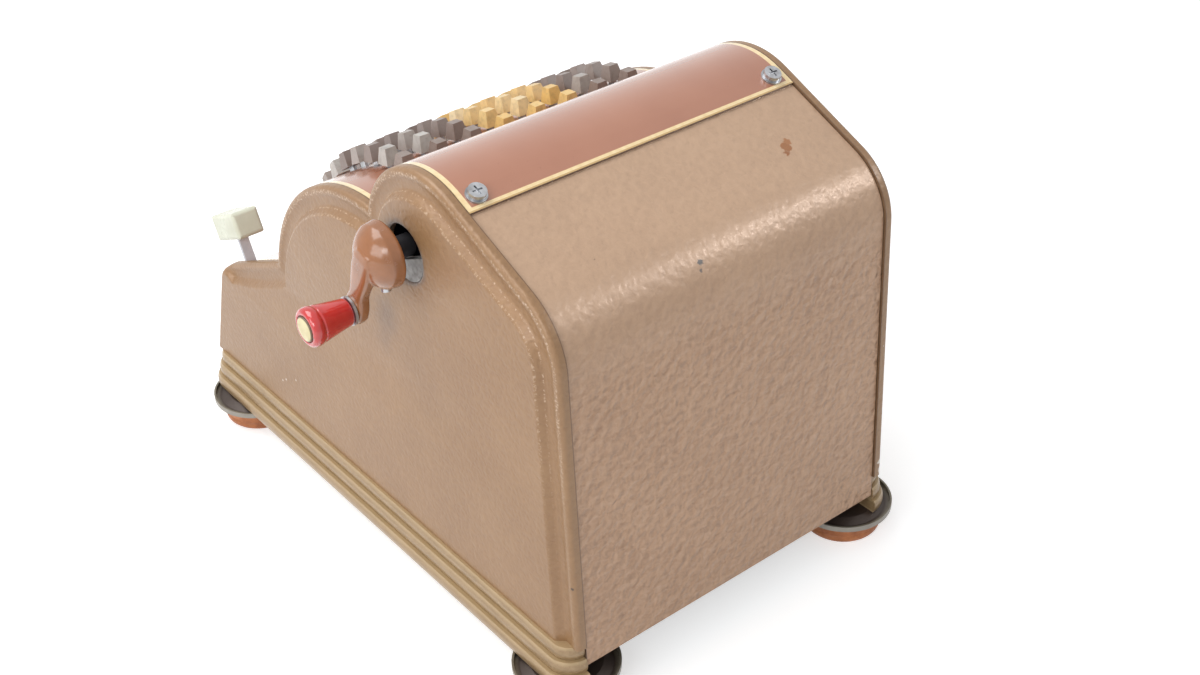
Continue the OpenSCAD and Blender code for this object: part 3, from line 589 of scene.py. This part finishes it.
def darken_patches(s, base, patches):
    """Soft dark patches: each is (place, radius, width of its edge, strength)."""
    ragged = s.wobble(size=7.0, reach=3.0)
    for centre, radius, edge, strength in patches:
        there = s.math("MULTIPLY", s.near(centre, radius, edge, ragged), strength)
        base = s.mix(there, base, PATCH_TINT)
    return base


def painted_seam_shade(s, base, away, seam_shade):
    """Painted shade on one side of a joint; the last argument is (low, high, whether the far side is
    dark, strength).
    """
    low, high, outside, strength = seam_shade
    at_low, at_high = (0.0, strength) if outside else (strength, 0.0)
    return s.mix(s.between(away, (low, high), at_low, at_high), base, SEAM_SHADE_TINT)


def painted_dimple_light(s, base, cell, moved, calm, grow):
    """Painted shade and highlight on the dimples' slopes, dark on one side and pale on the other as if
    lit from one side, and a painted sheen that makes the top paler.
    """
    beside = s.noise(cell * 1.3, detail=2.0, rough=0.5, place=s.vector("ADD", moved, LIGHT_SHIFT))
    here = s.noise(cell * 1.3, detail=2.0, rough=0.5, place=moved)
    slope = s.math("MULTIPLY", s.math("SUBTRACT", here, beside), grow)
    base = s.mix(s.span(slope, 0.0, 0.2, 0.0, 0.42), base, DIMPLE_SHADE)
    base = s.mix(s.span(slope, -0.2, 0.0, 0.3, 0.0), base, DIMPLE_HIGHLIGHT)
    top_sheen = s.between(s.axis(2), (calm[1], calm[0] + TOP_SHEEN_OVER), 0.0, 0.3)
    return s.mix(top_sheen, base, TOP_SHEEN)


def hammered(name, pale, mid, deep, cell, depth, rough=0.42, coat_rough=0.3, calm=None,
             marks=(), worn_and_lit=(), patches=(), seam_shade=None):
    """Hammered metallic paint: shallow cells with a patchy tone.

    calm gives two heights between which the dimples grow from faint to full, and with it come the
    painted shade and highlight on the dimples and a painted sheen on the top. The marks, the pale
    crest lines, the dark patches and the seam's painted shade are explained in the functions above.
    """
    s = Surface(name, rough=rough, metallic=0.1)
    s.set("Coat Weight", 0.25)
    s.set("Coat Roughness", coat_rough)
    moved = s.wobble(size=6.0, reach=2.2)
    dimples = s.cells(cell, moved)
    swell = s.noise(cell * 1.7, detail=2.0, rough=0.5, place=moved)
    grain = s.noise(0.9, detail=4.0, rough=0.6)
    patch = s.noise(38.0, detail=4.0, rough=0.5)
    tone = s.weigh((dimples, 0.2), (patch, 0.45), (grain, 0.35))
    base = s.ramp(s.span(tone, 0.25, 0.8), [(0.0, deep), (0.5, mid), (1.0, pale)])
    height = s.weigh((dimples, 0.7), (swell, 0.6))
    if calm is not None:
        grow = s.between(s.axis(2), calm, 0.3, 1.0)
        # painted shade and highlight on the dimples, and a painted sheen on the top
        base = painted_dimple_light(s, base, cell, moved, calm, grow)
        height = s.math("MULTIPLY", height, grow)
    away = s.from_middle()
    base = spots(s, base, marks)
    base = worn_and_lit_edges(s, base, away, worn_and_lit)
    base = darken_patches(s, base, patches)
    # painted shade beside the seam
    if seam_shade is not None:
        base = painted_seam_shade(s, base, away, seam_shade)
    s.to("Base Color", base)
    s.to("Roughness", s.span(grain, 0.3, 0.7, rough - 0.08, rough + 0.1))
    s.to("Normal", s.bump(grain, depth=0.05, below=s.bump(height, depth)))
    return s.material


# the plinth's noise is drawn out along the machine's length
BRUSHED = (1.0, 0.12, 1.0)


def bronze():
    """Bronze paint of the plinth, pale at the ribs' corners as painted light with a worn look, and
    brushed along its length.
    """
    s = Surface("bronze_look", rough=0.36, metallic=0.15)
    s.set("Coat Weight", 0.2)
    s.set("Coat Roughness", 0.3)
    streak = s.node("ShaderNodeMapping")
    s.feed(streak.inputs["Vector"], s.place)
    streak.inputs["Scale"].default_value = BRUSHED
    along = s.noise(2.2, detail=4.0, rough=0.6, place=streak.outputs[0])
    grain = s.noise(0.8, detail=4.0, rough=0.6)
    tone = s.weigh((along, 0.6), (grain, 0.4))
    base = s.ramp(s.span(tone, 0.3, 0.7), [
        (0.0, colour(132, 107, 74)),
        (0.5, colour(154, 127, 93)),
        (1.0, colour(171, 146, 111)),
    ])
    from_corner = s.math("PINGPONG", s.math("SUBTRACT", s.axis(2), RIB_FOOT_Z * MM), RIB_PITCH / 2 * MM)
    # painted light at the ribs' corners, paling the grooves' shade
    worn_and_lit = s.between(from_corner, RIB_LIT, 1.0, 0.0)
    base = s.mix(s.math("MULTIPLY", worn_and_lit, 0.6), base, colour(184, 160, 122))
    s.to("Base Color", base)
    s.to("Normal", s.bump(grain, depth=0.08))
    return s.material


def metal(name, tint, dark, rough=0.32, scale=6.0, metallic=1.0):
    """Plain worked metal with faint stains."""
    s = Surface(name, rough=rough, metallic=metallic)
    patches = s.noise(scale, detail=5.0, rough=0.6)
    s.to("Base Color", s.mix(s.span(patches, 0.35, 0.75), tint, dark))
    s.to("Roughness", s.span(patches, 0.3, 0.7, rough - 0.06, rough + 0.14))
    s.to("Normal", s.bump(s.noise(0.5, detail=3.0), depth=0.02))
    return s.material


def plastic(name, tint, dark, rough=0.3, scale=9.0, **sockets):
    """Plain plastic or enamel with faint stains."""
    s = Surface(name, rough=rough, **sockets)
    patches = s.noise(scale, detail=4.0, rough=0.6)
    s.to("Base Color", s.mix(s.span(patches, 0.35, 0.8), tint, dark))
    s.to("Roughness", s.span(patches, 0.3, 0.7, rough - 0.05, rough + 0.12))
    s.to("Normal", s.bump(s.noise(1.5, detail=2.0), depth=0.03))
    return s.material


def ivory():
    """Ivory disc in the grip's end, with a dark line round its edge."""
    s = Surface("ivory_look", rough=0.3)
    patches = s.noise(5.0, detail=4.0, rough=0.6)
    base = s.mix(s.span(patches, 0.35, 0.8), colour(226, 214, 170), colour(200, 184, 134))
    centre = point(0, GRIP_AT.x, GRIP_AT.y)
    dy = s.math("SUBTRACT", s.axis(1), centre.y)
    dz = s.math("SUBTRACT", s.axis(2), centre.z)
    dark_ring = s.between(s.hypotenuse(dy, dz), DISC_RING, 0.0, 0.85)
    s.to("Base Color", s.mix(dark_ring, base, colour(74, 34, 28)))
    s.to("Roughness", s.span(patches, 0.3, 0.7, 0.25, 0.42))
    s.to("Normal", s.bump(s.noise(1.5, detail=2.0), depth=0.03))
    return s.material


def plate_lacquer():
    """Glossy brown-red lacquer with a gold line along the rear edge and both sides, whose gold is darker
    on the rear edge face as painted shade.
    """
    s = Surface("plate_lacquer_look", rough=0.24)
    s.set("Coat Weight", 1.0)
    s.set("Coat Roughness", 0.16)
    tone = s.noise(40.0, detail=3.0)
    base = s.mix(s.span(tone, 0.35, 0.7), colour(177, 118, 90), colour(167, 108, 81))
    specks = s.span(s.noise(1.1, detail=2.0, rough=0.5), 0.72, 0.78)
    base = s.mix(s.math("MULTIPLY", specks, 0.5), base, colour(110, 70, 60))
    side = s.from_middle()
    slope = s.vector("DOT_PRODUCT", s.place, (0, SLOPE_T.x, SLOPE_T.y), out="Value")
    edge = SLOPE_T.dot(SLOPE_START) + SLOPE_T.x * SHIFT_Y + SCREW_DOWN + PLATE_PAST
    near_side = s.between(side, (SHEET_X - GOLD_W, SHEET_X - GOLD_W + GOLD_FADE))
    near_rear = s.between(slope, (edge - GOLD_W, edge - GOLD_W + GOLD_FADE))
    gold = s.math("MAXIMUM", near_side, near_rear)
    # painted shade on the gold of the rear edge face
    edge_face_shade = s.between(slope, [edge - up for up in GOLD_EDGE_SHADE])
    cut_edge = s.between(slope, [edge - up for up in GOLD_CUT])
    patch = s.span(s.noise(3.0, detail=3.0), 0.3, 0.7)
    line_tint = s.mix(patch, colour(250, 226, 176), colour(236, 206, 150))
    line_tint = s.mix(edge_face_shade, line_tint, colour(200, 164, 104))
    line_tint = s.mix(cut_edge, line_tint, colour(96, 66, 48))
    s.to("Base Color", s.mix(gold, base, line_tint))
    s.to("Normal", s.bump(s.noise(3.5, detail=3.0), depth=0.03))
    return s.material


def key_plastic(row):
    """Brown-grey caps with three amber columns, each cap a little different."""
    s = Surface(f"key_plastic_{row}", rough=0.34)
    s.set("Subsurface Weight", 0.12)
    s.set("Subsurface Radius", CAP_GLOW)
    x = s.math("SUBTRACT", s.axis(0), SHIFT_X * MM)
    column = s.math("FLOOR", s.math("DIVIDE", x, KEY_PITCH * MM))
    chance = s.node("ShaderNodeTexWhiteNoise", noise_dimensions="2D")
    pair = s.node("ShaderNodeCombineXYZ")
    s.feed(pair.inputs[0], column)
    pair.inputs[1].default_value = float(row)
    s.feed(chance.inputs["Vector"], pair.outputs[0])
    dark = s.ramp(chance.outputs["Value"], [
        (0.0, colour(116, 100, 93)),
        (0.6, colour(142, 126, 118)),
        (1.0, colour(188, 184, 178)),
    ])
    amber = s.ramp(chance.outputs["Value"], [
        (0.0, colour(226, 186, 112)),
        (0.6, colour(234, 202, 140)),
        (1.0, colour(240, 218, 172)),
    ])
    low, high = [count * KEY_PITCH * MM for count in AMBER_COLUMNS]
    is_amber = s.math("MULTIPLY", s.math("GREATER_THAN", x, low), s.math("LESS_THAN", x, high))
    base = s.mix(is_amber, dark, amber)
    grime = s.span(s.noise(3.0, detail=4.0, rough=0.6), 0.45, 0.75, 0.0, 0.35)
    s.to("Base Color", s.mix(grime, base, colour(96, 76, 62)))
    s.to("Normal", s.bump(s.noise(0.8, detail=3.0), depth=0.02))
    return s.material


def bush_with_painted_shade():
    """Grey shelf in the crank's hole; above it, where the hole is open, painted shade: near-black and
    without shine.
    """
    s = Surface("bush_painted_shade_look", rough=0.4, metallic=0.5)
    lean = math.radians(SHELF_LEAN)
    upward = (0, -math.sin(lean), math.cos(lean))
    centre = point(HALF_W, HOLE.x, HOLE.y)
    along = s.vector("DOT_PRODUCT", s.place, upward, out="Value")
    rise = s.math("SUBTRACT", along, Vector(upward).dot(centre))
    # painted shade where the hole is open
    open_shade = s.between(rise, [up - SHELF_DOWN for up in SHELF_EDGE])
    patches = s.span(s.noise(3.0, detail=4.0), 0.35, 0.7)
    grey = s.mix(patches, colour(168, 166, 164), colour(120, 116, 112))
    s.to("Base Color", s.mix(open_shade, grey, colour(8, 8, 14)))
    s.to("Specular IOR Level", s.span(open_shade, 0.0, 1.0, 0.5, 0.0))
    s.to("Metallic", s.span(open_shade, 0.0, 1.0, 0.5, 0.0))
    s.to("Roughness", s.span(open_shade, 0.0, 1.0, 0.4, 0.9))
    return s.material


def cup_paint():
    """Olive-grey cup, darkened in its trough by painted shade from the plinth above."""
    s = Surface("cup_look", rough=0.42, metallic=0.3)
    patches = s.span(s.noise(5.0, detail=5.0, rough=0.6), 0.35, 0.75)
    base = s.mix(patches, colour(128, 122, 108), colour(98, 88, 74))
    depth_way = s.math("ABSOLUTE", s.math("SUBTRACT", s.axis(1), SHIFT_Y * MM))
    dx = s.math("SUBTRACT", s.from_middle(), FOOT_X * MM)
    dy = s.math("SUBTRACT", depth_way, FOOT_Y * MM)
    away = s.hypotenuse(dx, dy)
    # painted shade in the trough, under the plinth
    trough_shade = s.between(away, CUP_TROUGH, 1.0, 0.0)
    base = s.mix(trough_shade, base, colour(66, 54, 48))
    edge = s.between(away, CUP_EDGE)
    s.to("Base Color", s.mix(s.math("MULTIPLY", edge, 0.35), base, colour(196, 192, 186)))
    s.to("Normal", s.bump(s.noise(1.2, detail=3.0), depth=0.05))
    return s.material


def dress(node, material):
    target = nodes[node]
    target.data.materials.clear()
    target.data.materials.append(material)


def turned(name, x0, centre, profile):
    """A closed piece turned about a line along X: profile holds (distance from x0, radius)."""
    shell = Shell()
    rings = []
    for out, radius in profile:
        if radius == 0:
            rings.append(shell.ring([point(x0 + out, centre.x, centre.y)]) * TURN_STEPS)
            continue
        around = [centre + unit(360 * i / TURN_STEPS) * radius for i in range(TURN_STEPS)]
        rings.append(shell.ring([point(x0 + out, p.x, p.y) for p in around]))
    for a, b in zip(rings, rings[1:]):
        for i in range(TURN_STEPS):
            j = (i + 1) % TURN_STEPS
            face = []
            for corner in (a[i], a[j], b[j], b[i]):
                if corner not in face:
                    face.append(corner)
            shell.faces.append(tuple(face))
    return outward(new_piece(name, shell.vertices, shell.faces, sharp=50))


def hub_profile():
    """The domed hub: (distance from its rim, radius)."""
    dome_r = (HUB_R ** 2 + HUB_DOME ** 2) / (2 * HUB_DOME)
    profile = [(0.0, 0.0), (0.0, HUB_R - HUB_EDGE)]
    profile += [(HUB_EDGE_MID, HUB_R - HUB_EDGE_MID), (HUB_EDGE, HUB_R)]
    last = math.asin(HUB_R / dome_r)
    for i in range(1, HUB_RINGS):
        a = last * (1 - i / HUB_RINGS)
        profile.append((HUB_L - dome_r * (1 - math.cos(a)), dome_r * math.sin(a)))
    profile.append((HUB_L, 0.0))
    return profile


def arm_loft(name):
    """The arm as a rounded bar that narrows below the hub and swells into the boss at its end."""
    down = (GRIP_AT - CRANK).normalized()
    side = across(down)
    middle = ARM_X + ARM_T / 2
    shell = Shell()
    rings = []
    for along, half_width, half_depth in ARM_STATIONS:
        ring = []
        for i in range(ARM_STEPS):
            u = unit(360 * i / ARM_STEPS)
            wide = math.copysign(abs(u.x) ** ARM_SQUARE, u.x) * half_width
            deep = math.copysign(abs(u.y) ** ARM_SQUARE, u.y) * half_depth
            p = CRANK + down * along + side * wide
            ring.append(point(middle + deep, p.x, p.y))
        rings.append(shell.ring(ring))
    for a, b in zip(rings, rings[1:]):
        shell.strip(a, b, closed=True)
    shell.faces.append(tuple(reversed(rings[0])))
    shell.faces.append(tuple(rings[-1]))
    return outward(new_piece(name, shell.vertices, shell.faces))


# size of the casting's mesh in millimetres, and how often and how far it is smoothed
CAST_VOXEL = 0.35
CAST_ROUNDS = 8
CAST_PULL = 0.6


def cast_together(name, parts):
    """Joins closed parts into one smooth casting."""
    bpy.ops.object.select_all(action="DESELECT")
    for part in parts:
        part.select_set(True)
    bpy.context.view_layer.objects.active = parts[0]
    bpy.ops.object.join()
    piece = bpy.context.view_layer.objects.active
    piece.name = name
    remesh = piece.modifiers.new("remesh", "REMESH")
    remesh.mode = "VOXEL"
    remesh.voxel_size = CAST_VOXEL * MM
    remesh.use_smooth_shade = True
    smooth = piece.modifiers.new("smooth", "SMOOTH")
    smooth.iterations = CAST_ROUNDS
    smooth.factor = CAST_PULL
    for modifier in ("remesh", "smooth"):
        bpy.ops.object.modifier_apply(modifier=modifier)
    piece.select_set(False)
    piece.data.shade_smooth()
    return piece


# edges sharper than this many degrees are rounded
SOFTEN_FROM = 30


def soften(node, width, segments=3):
    """Rounds the sharp edges of a solid that stays."""
    bevel = nodes[node].modifiers.new("bevel", "BEVEL")
    bevel.width = width * MM
    bevel.segments = segments
    bevel.limit_method = "ANGLE"
    bevel.angle_limit = math.radians(SOFTEN_FROM)
    bevel.harden_normals = True


def stand_in(piece, body, node, look):
    """Gives a piece its material and lets it take the place of a solid."""
    piece.data.materials.clear()
    piece.data.materials.append(look)
    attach(piece, body)
    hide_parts(node)


# camera at the photograph's place, for a frame of 1200 by 675; places of camera and lights in metres
CAMERA_AT = Vector((0.3976, 0.57105, 0.5580))
FOCAL = 51.2
SENSOR_W = 36.0
FAR_CLIP = 50.0
FORWARD = Vector((-0.5162, -0.6449, -0.5637)).normalized()
UP = Vector((-0.3675, -0.4277, 0.8258)).normalized()
RIGHT = FORWARD.cross(UP).normalized()
camera_data = bpy.data.cameras.new("camera")
camera = bpy.data.objects.new("camera", camera_data)
bpy.context.scene.collection.objects.link(camera)
camera_data.lens = FOCAL
camera_data.sensor_width = SENSOR_W
camera_data.clip_end = FAR_CLIP
spin = Matrix((RIGHT, RIGHT.cross(FORWARD), -FORWARD)).transposed().to_4x4()
camera.matrix_world = Matrix.Translation(CAMERA_AT) @ spin
bpy.context.scene.camera = camera

# paints and plastics
BARE = colour(226, 216, 204)
DARK = colour(70, 52, 42)
RUST = (colour(156, 104, 64), colour(164, 112, 72), colour(150, 98, 60))
SCRATCH = (colour(92, 84, 80), colour(96, 90, 86), colour(100, 92, 88))

# small marks in the paint, mostly where the photograph shows them: (place, radius, colour)
CHEEK_MARKS = (
    (point(94, 153.0, 52.5), 0.9, BARE),
    (point(94, 153.0, 50.2), 0.8, BARE),
    (point(94, 149.3, 70.5), 0.6, DARK),
    (point(97, -84.4, 51.9), 0.35, BARE),
    (point(97, -69.8, 59.9), 0.3, BARE),
    (point(97, -80.5, 54.2), 0.25, BARE),
    (point(-93, 150.5, 38.5), 2.2, BARE),
    (point(-92, 151.0, 44.0), 1.2, BARE),
    (point(-91, 147.0, 110.0), 0.8, BARE),
)
COVER_MARKS = (
    (point(-59.9, 110.7, 210.0), 2.6, RUST[0]),
    (point(-62.5, 108.6, 210.7), 1.9, RUST[1]),
    (point(-58.0, 113.5, 208.7), 1.5, RUST[2]),
    (point(14.5, 136.3, 196.1), 0.9, SCRATCH[0]),
    (point(14.0, 138.0, 193.5), 1.3, SCRATCH[1]),
    (point(15.0, 140.0, 190.5), 0.8, SCRATCH[2]),
    (point(63.5, 103.5, 213.1), 0.7, DARK),
    (point(56.3, 121.9, 205.3), 0.6, DARK),
    (point(49.0, 122.5, 205.0), 0.5, DARK),
    (point(54.7, 147.1, 138.6), 0.8, BARE),
    (point(54.2, 147.6, 132.0), 0.6, BARE),
    (point(53.0, 148.5, 120.0), 0.5, BARE),
    (point(52.0, 149.0, 112.0), 0.7, BARE),
    (point(-78.0, 146.0, 165.0), 0.8, DARK),
    (point(-20.0, 148.0, 140.0), 0.5, BARE),
)

# dark patches below the crank's hole and round it: (place, radius, width of the edge, strength)
DARK_PATCHES = (
    (point(97, 27.5, 150.0), 3.0, 8.0, 0.3),
    (point(97, 24.5, 141.0), 3.0, 7.0, 0.26),
    (point(97, 21.5, 131.0), 1.5, 7.0, 0.2),
    (point(97, HOLE.x, HOLE.y), HOLE_R + 0.6, 2.4, 0.5),
)

# pale lines on the crests of the cheeks' rim and step, partly wear and partly painted highlight, and
# painted shade in the dark lines beside the seam
CREST = HALF_W + RIM_T
STEP_CREST = HALF_W + CHEEK_T
WORN_AND_LIT = ((CREST - 0.12, CREST + 0.2, 0.6), (STEP_CREST - 0.7, STEP_CREST - 0.12, 0.5))
CHEEK_SEAM_SHADE = (HALF_W + 0.3, HALF_W + 0.6, False, 0.5)
COVER_SEAM_SHADE = (SHEET_X - 0.35, SHEET_X - 0.15, True, 0.85)

# the cover's dimples grow from faint to full between these heights
CALM = (192.0, 158.0)

cheek_look = hammered(
    "cheek_look", colour(161, 126, 90), colour(149, 114, 79), colour(135, 100, 67),
    cell=2.2, depth=0.3, marks=CHEEK_MARKS, worn_and_lit=WORN_AND_LIT, patches=DARK_PATCHES, seam_shade=CHEEK_SEAM_SHADE,
)
cover_look = hammered(
    "cover_look", colour(191, 153, 122), colour(180, 142, 111), colour(164, 126, 96),
    cell=3.2, depth=1.0, rough=0.36, coat_rough=0.4, calm=CALM, marks=COVER_MARKS, seam_shade=COVER_SEAM_SHADE,
)
bronze_look = bronze()
zinc_look = metal("zinc_look", colour(196, 198, 202), colour(124, 124, 124), rough=0.28, metallic=0.9)
stem_look = plastic("stem_look", colour(226, 228, 236), colour(204, 206, 214), rough=0.3, scale=6.0)
steel_look = metal("steel_look", colour(190, 190, 188), colour(130, 128, 124), rough=0.3)
shaft_look = metal("shaft_look", colour(44, 42, 46), colour(26, 24, 28), rough=0.6, metallic=0.3)
frame_look = metal("frame_steel_look", colour(120, 120, 118), colour(84, 82, 78), rough=0.45, scale=14.0)
brass_look = metal("brass_look", colour(206, 172, 104), colour(150, 116, 62), rough=0.34)
base_look = hammered(
    "base_look", colour(92, 88, 84), colour(76, 73, 70), colour(58, 55, 53), cell=2.0, depth=0.08,
)
cup_look = cup_paint()
rubber_look = plastic("rubber_look", colour(196, 122, 72), colour(138, 76, 44), rough=0.42, scale=7.0)
white_look = plastic("white_look", colour(218, 220, 201), colour(202, 201, 180), rough=0.28, scale=14.0)
wheel_look = plastic("wheel_look", colour(226, 222, 208), colour(202, 194, 172), rough=0.35)
enamel_look = plastic(
    "enamel_look", colour(156, 100, 60), colour(132, 84, 50), rough=0.2, scale=12.0, Coat_Weight=0.5,
)
grip_look = plastic(
    "grip_look", colour(206, 44, 42), colour(178, 30, 32), rough=0.14, scale=10.0, Coat_Weight=0.9,
)
ivory_look = ivory()
glass_look = plastic(
    "glass_look", colour(238, 242, 240), colour(228, 234, 232), rough=0.08, scale=20.0,
    Transmission_Weight=0.9,
)

LOOKS = {
    "right_plinth": bronze_look, "left_plinth": bronze_look,
    "rear_cover": cover_look, "front_cover": cover_look,
    "top_plate": plate_lacquer(), "base_plate": base_look,
    "foot_cups": cup_look, "foot_rubbers": rubber_look, "foot_screws": zinc_look,
    "cover_screws": zinc_look, "cover_washers": zinc_look,
    "side_frames": frame_look, "tie_bars": steel_look, "key_guide": frame_look,
    "register_window": glass_look, "sector_shaft": steel_look, "register_shaft": steel_look,
    "cam_stud": steel_look, "crank_bush": bush_with_painted_shade(),
    "clearing_key": white_look, "clearing_stem": stem_look,
    "adding_sectors": brass_look, "sector_bail": steel_look,
    "drive_gear": brass_look, "cam_wheel": brass_look, "crankshaft": shaft_look,
    "crank_arm": enamel_look, "crank_pin": zinc_look, "grip_spindle": steel_look,
    "grip_ferrule": zinc_look, "grip": grip_look, "grip_cap": ivory_look,
}
for row in range(1, KEY_ROWS + 1):
    LOOKS[f"key_caps_{row}"] = key_plastic(row)
    LOOKS[f"key_stems_{row}"] = zinc_look
for wheel in range(1, WHEELS + 1):
    LOOKS[f"number_wheel_{wheel}"] = wheel_look
for node, look in LOOKS.items():
    dress(node, look)

# smooth cheeks
for name, node, side in (("cheek_right", "right_cheek", 1), ("cheek_left", "left_cheek", -1)):
    stand_in(outward(build_cheek(name, side)), "machine", node, cheek_look)

# crank as one smooth casting, the grip with its collar, and the end disc
hub_part = turned("hub_part", HUB_X, CRANK, hub_profile())
arm_part = arm_loft("arm_part")
casting = cast_together("crank_casting", [hub_part, arm_part])
stand_in(casting, "crank", "crank_arm", enamel_look)
grip = turned("grip_turned", GRIP_X, GRIP_AT, GRIP_PROFILE)
stand_in(grip, "grip", "grip", grip_look)
end_disc = turned("grip_end_disc", GRIP_X + GRIP_L - DISC_SINK, GRIP_AT, DISC_PROFILE)
stand_in(end_disc, "grip", "grip_cap", ivory_look)

# rounded edges on the solids that stay
for row in range(1, KEY_ROWS + 1):
    soften(f"key_caps_{row}", width=0.45)
soften("clearing_key", width=1.6, segments=4)
soften("grip_ferrule", width=0.4)
soften("clearing_stem", width=0.3)
soften("cover_screws", width=0.5)

# floor, in metres
FLOOR_HALF = 6.0
FLOOR_GREY = (0.8, 0.81, 0.82, 1)
FLOOR_GLOW = 0.56
WHITE = (1, 1, 1, 1)
CORNERS = ((-1, -1), (1, -1), (1, 1), (-1, 1))
floor = new_piece("floor", [(i * FLOOR_HALF, j * FLOOR_HALF, 0) for i, j in CORNERS], [(0, 1, 2, 3)])


def shown_rays(tree):
    """1 for rays that show a background: camera, mirror and glass rays."""
    path = tree.nodes.new("ShaderNodeLightPath")
    total = path.outputs["Is Camera Ray"]
    for other in ("Is Glossy Ray", "Is Transmission Ray"):
        most = tree.nodes.new("ShaderNodeMath")
        most.operation = "MAXIMUM"
        tree.links.new(total, most.inputs[0])
        tree.links.new(path.outputs[other], most.inputs[1])
        total = most.outputs[0]
    return total


def floor_material():
    """Pale paper that also glows where it shows, for the camera and in reflections, not as a lamp."""
    material = bpy.data.materials.new("floor_paper")
    material.use_nodes = True
    tree = material.node_tree
    shader = tree.nodes["Principled BSDF"]
    shader.inputs["Base Color"].default_value = FLOOR_GREY
    shader.inputs["Roughness"].default_value = 0.9
    shader.inputs["Specular IOR Level"].default_value = 0.1
    glow = tree.nodes.new("ShaderNodeEmission")
    glow.inputs["Color"].default_value = WHITE
    scale = tree.nodes.new("ShaderNodeMath")
    scale.operation = "MULTIPLY"
    scale.inputs[1].default_value = FLOOR_GLOW
    tree.links.new(shown_rays(tree), scale.inputs[0])
    tree.links.new(scale.outputs[0], glow.inputs["Strength"])
    both = tree.nodes.new("ShaderNodeAddShader")
    tree.links.new(shader.outputs[0], both.inputs[0])
    tree.links.new(glow.outputs[0], both.inputs[1])
    tree.links.new(both.outputs[0], tree.nodes["Material Output"].inputs["Surface"])
    return material


floor.data.materials.append(floor_material())

# world: even soft light, white where it shows
world = bpy.data.worlds.new("world")
bpy.context.scene.world = world
world.use_nodes = True
background = world.node_tree.nodes["Background"]
background.inputs["Color"].default_value = WHITE
AMBIENT = 0.46
level = world.node_tree.nodes.new("ShaderNodeMath")
level.operation = "MULTIPLY_ADD"
level.inputs[1].default_value = 1 - AMBIENT
level.inputs[2].default_value = AMBIENT
world.node_tree.links.new(shown_rays(world.node_tree), level.inputs[0])
world.node_tree.links.new(level.outputs[0], background.inputs["Strength"])


def softbox(name, place, target, size, power, only_glossy=False):
    """A rectangular lamp that faces its target; only_glossy lamps show in reflections alone."""
    data = bpy.data.lights.new(name, "AREA")
    data.shape = "RECTANGLE"
    data.size, data.size_y = size
    data.energy = power
    lamp = bpy.data.objects.new(name, data)
    bpy.context.scene.collection.objects.link(lamp)
    lamp.location = place
    lamp.visible_diffuse = not only_glossy
    lamp.rotation_euler = (Vector(target) - Vector(place)).to_track_quat("-Z", "Y").to_euler()


softbox("key_light", place=(0.5, -0.5, 1.5), target=(0, 0, 0.12), size=(1.2, 1.0), power=15.5)
softbox("side_light", place=(1.5, 0.3, 0.8), target=(0, 0, 0.1), size=(1.0, 0.8), power=8.0)
softbox("rear_light", place=(1.1, 0.8, 0.9), target=(0, 0.1, 0.12), size=(0.4, 0.4), power=3.0)
softbox(
    "glint_light", place=(-1.5, 1.2, 1.35), target=(-0.06, 0.1, 0.2), size=(0.4, 0.3), power=12.0,
    only_glossy=True,
)

bpy.context.scene.view_settings.view_transform = "Standard"
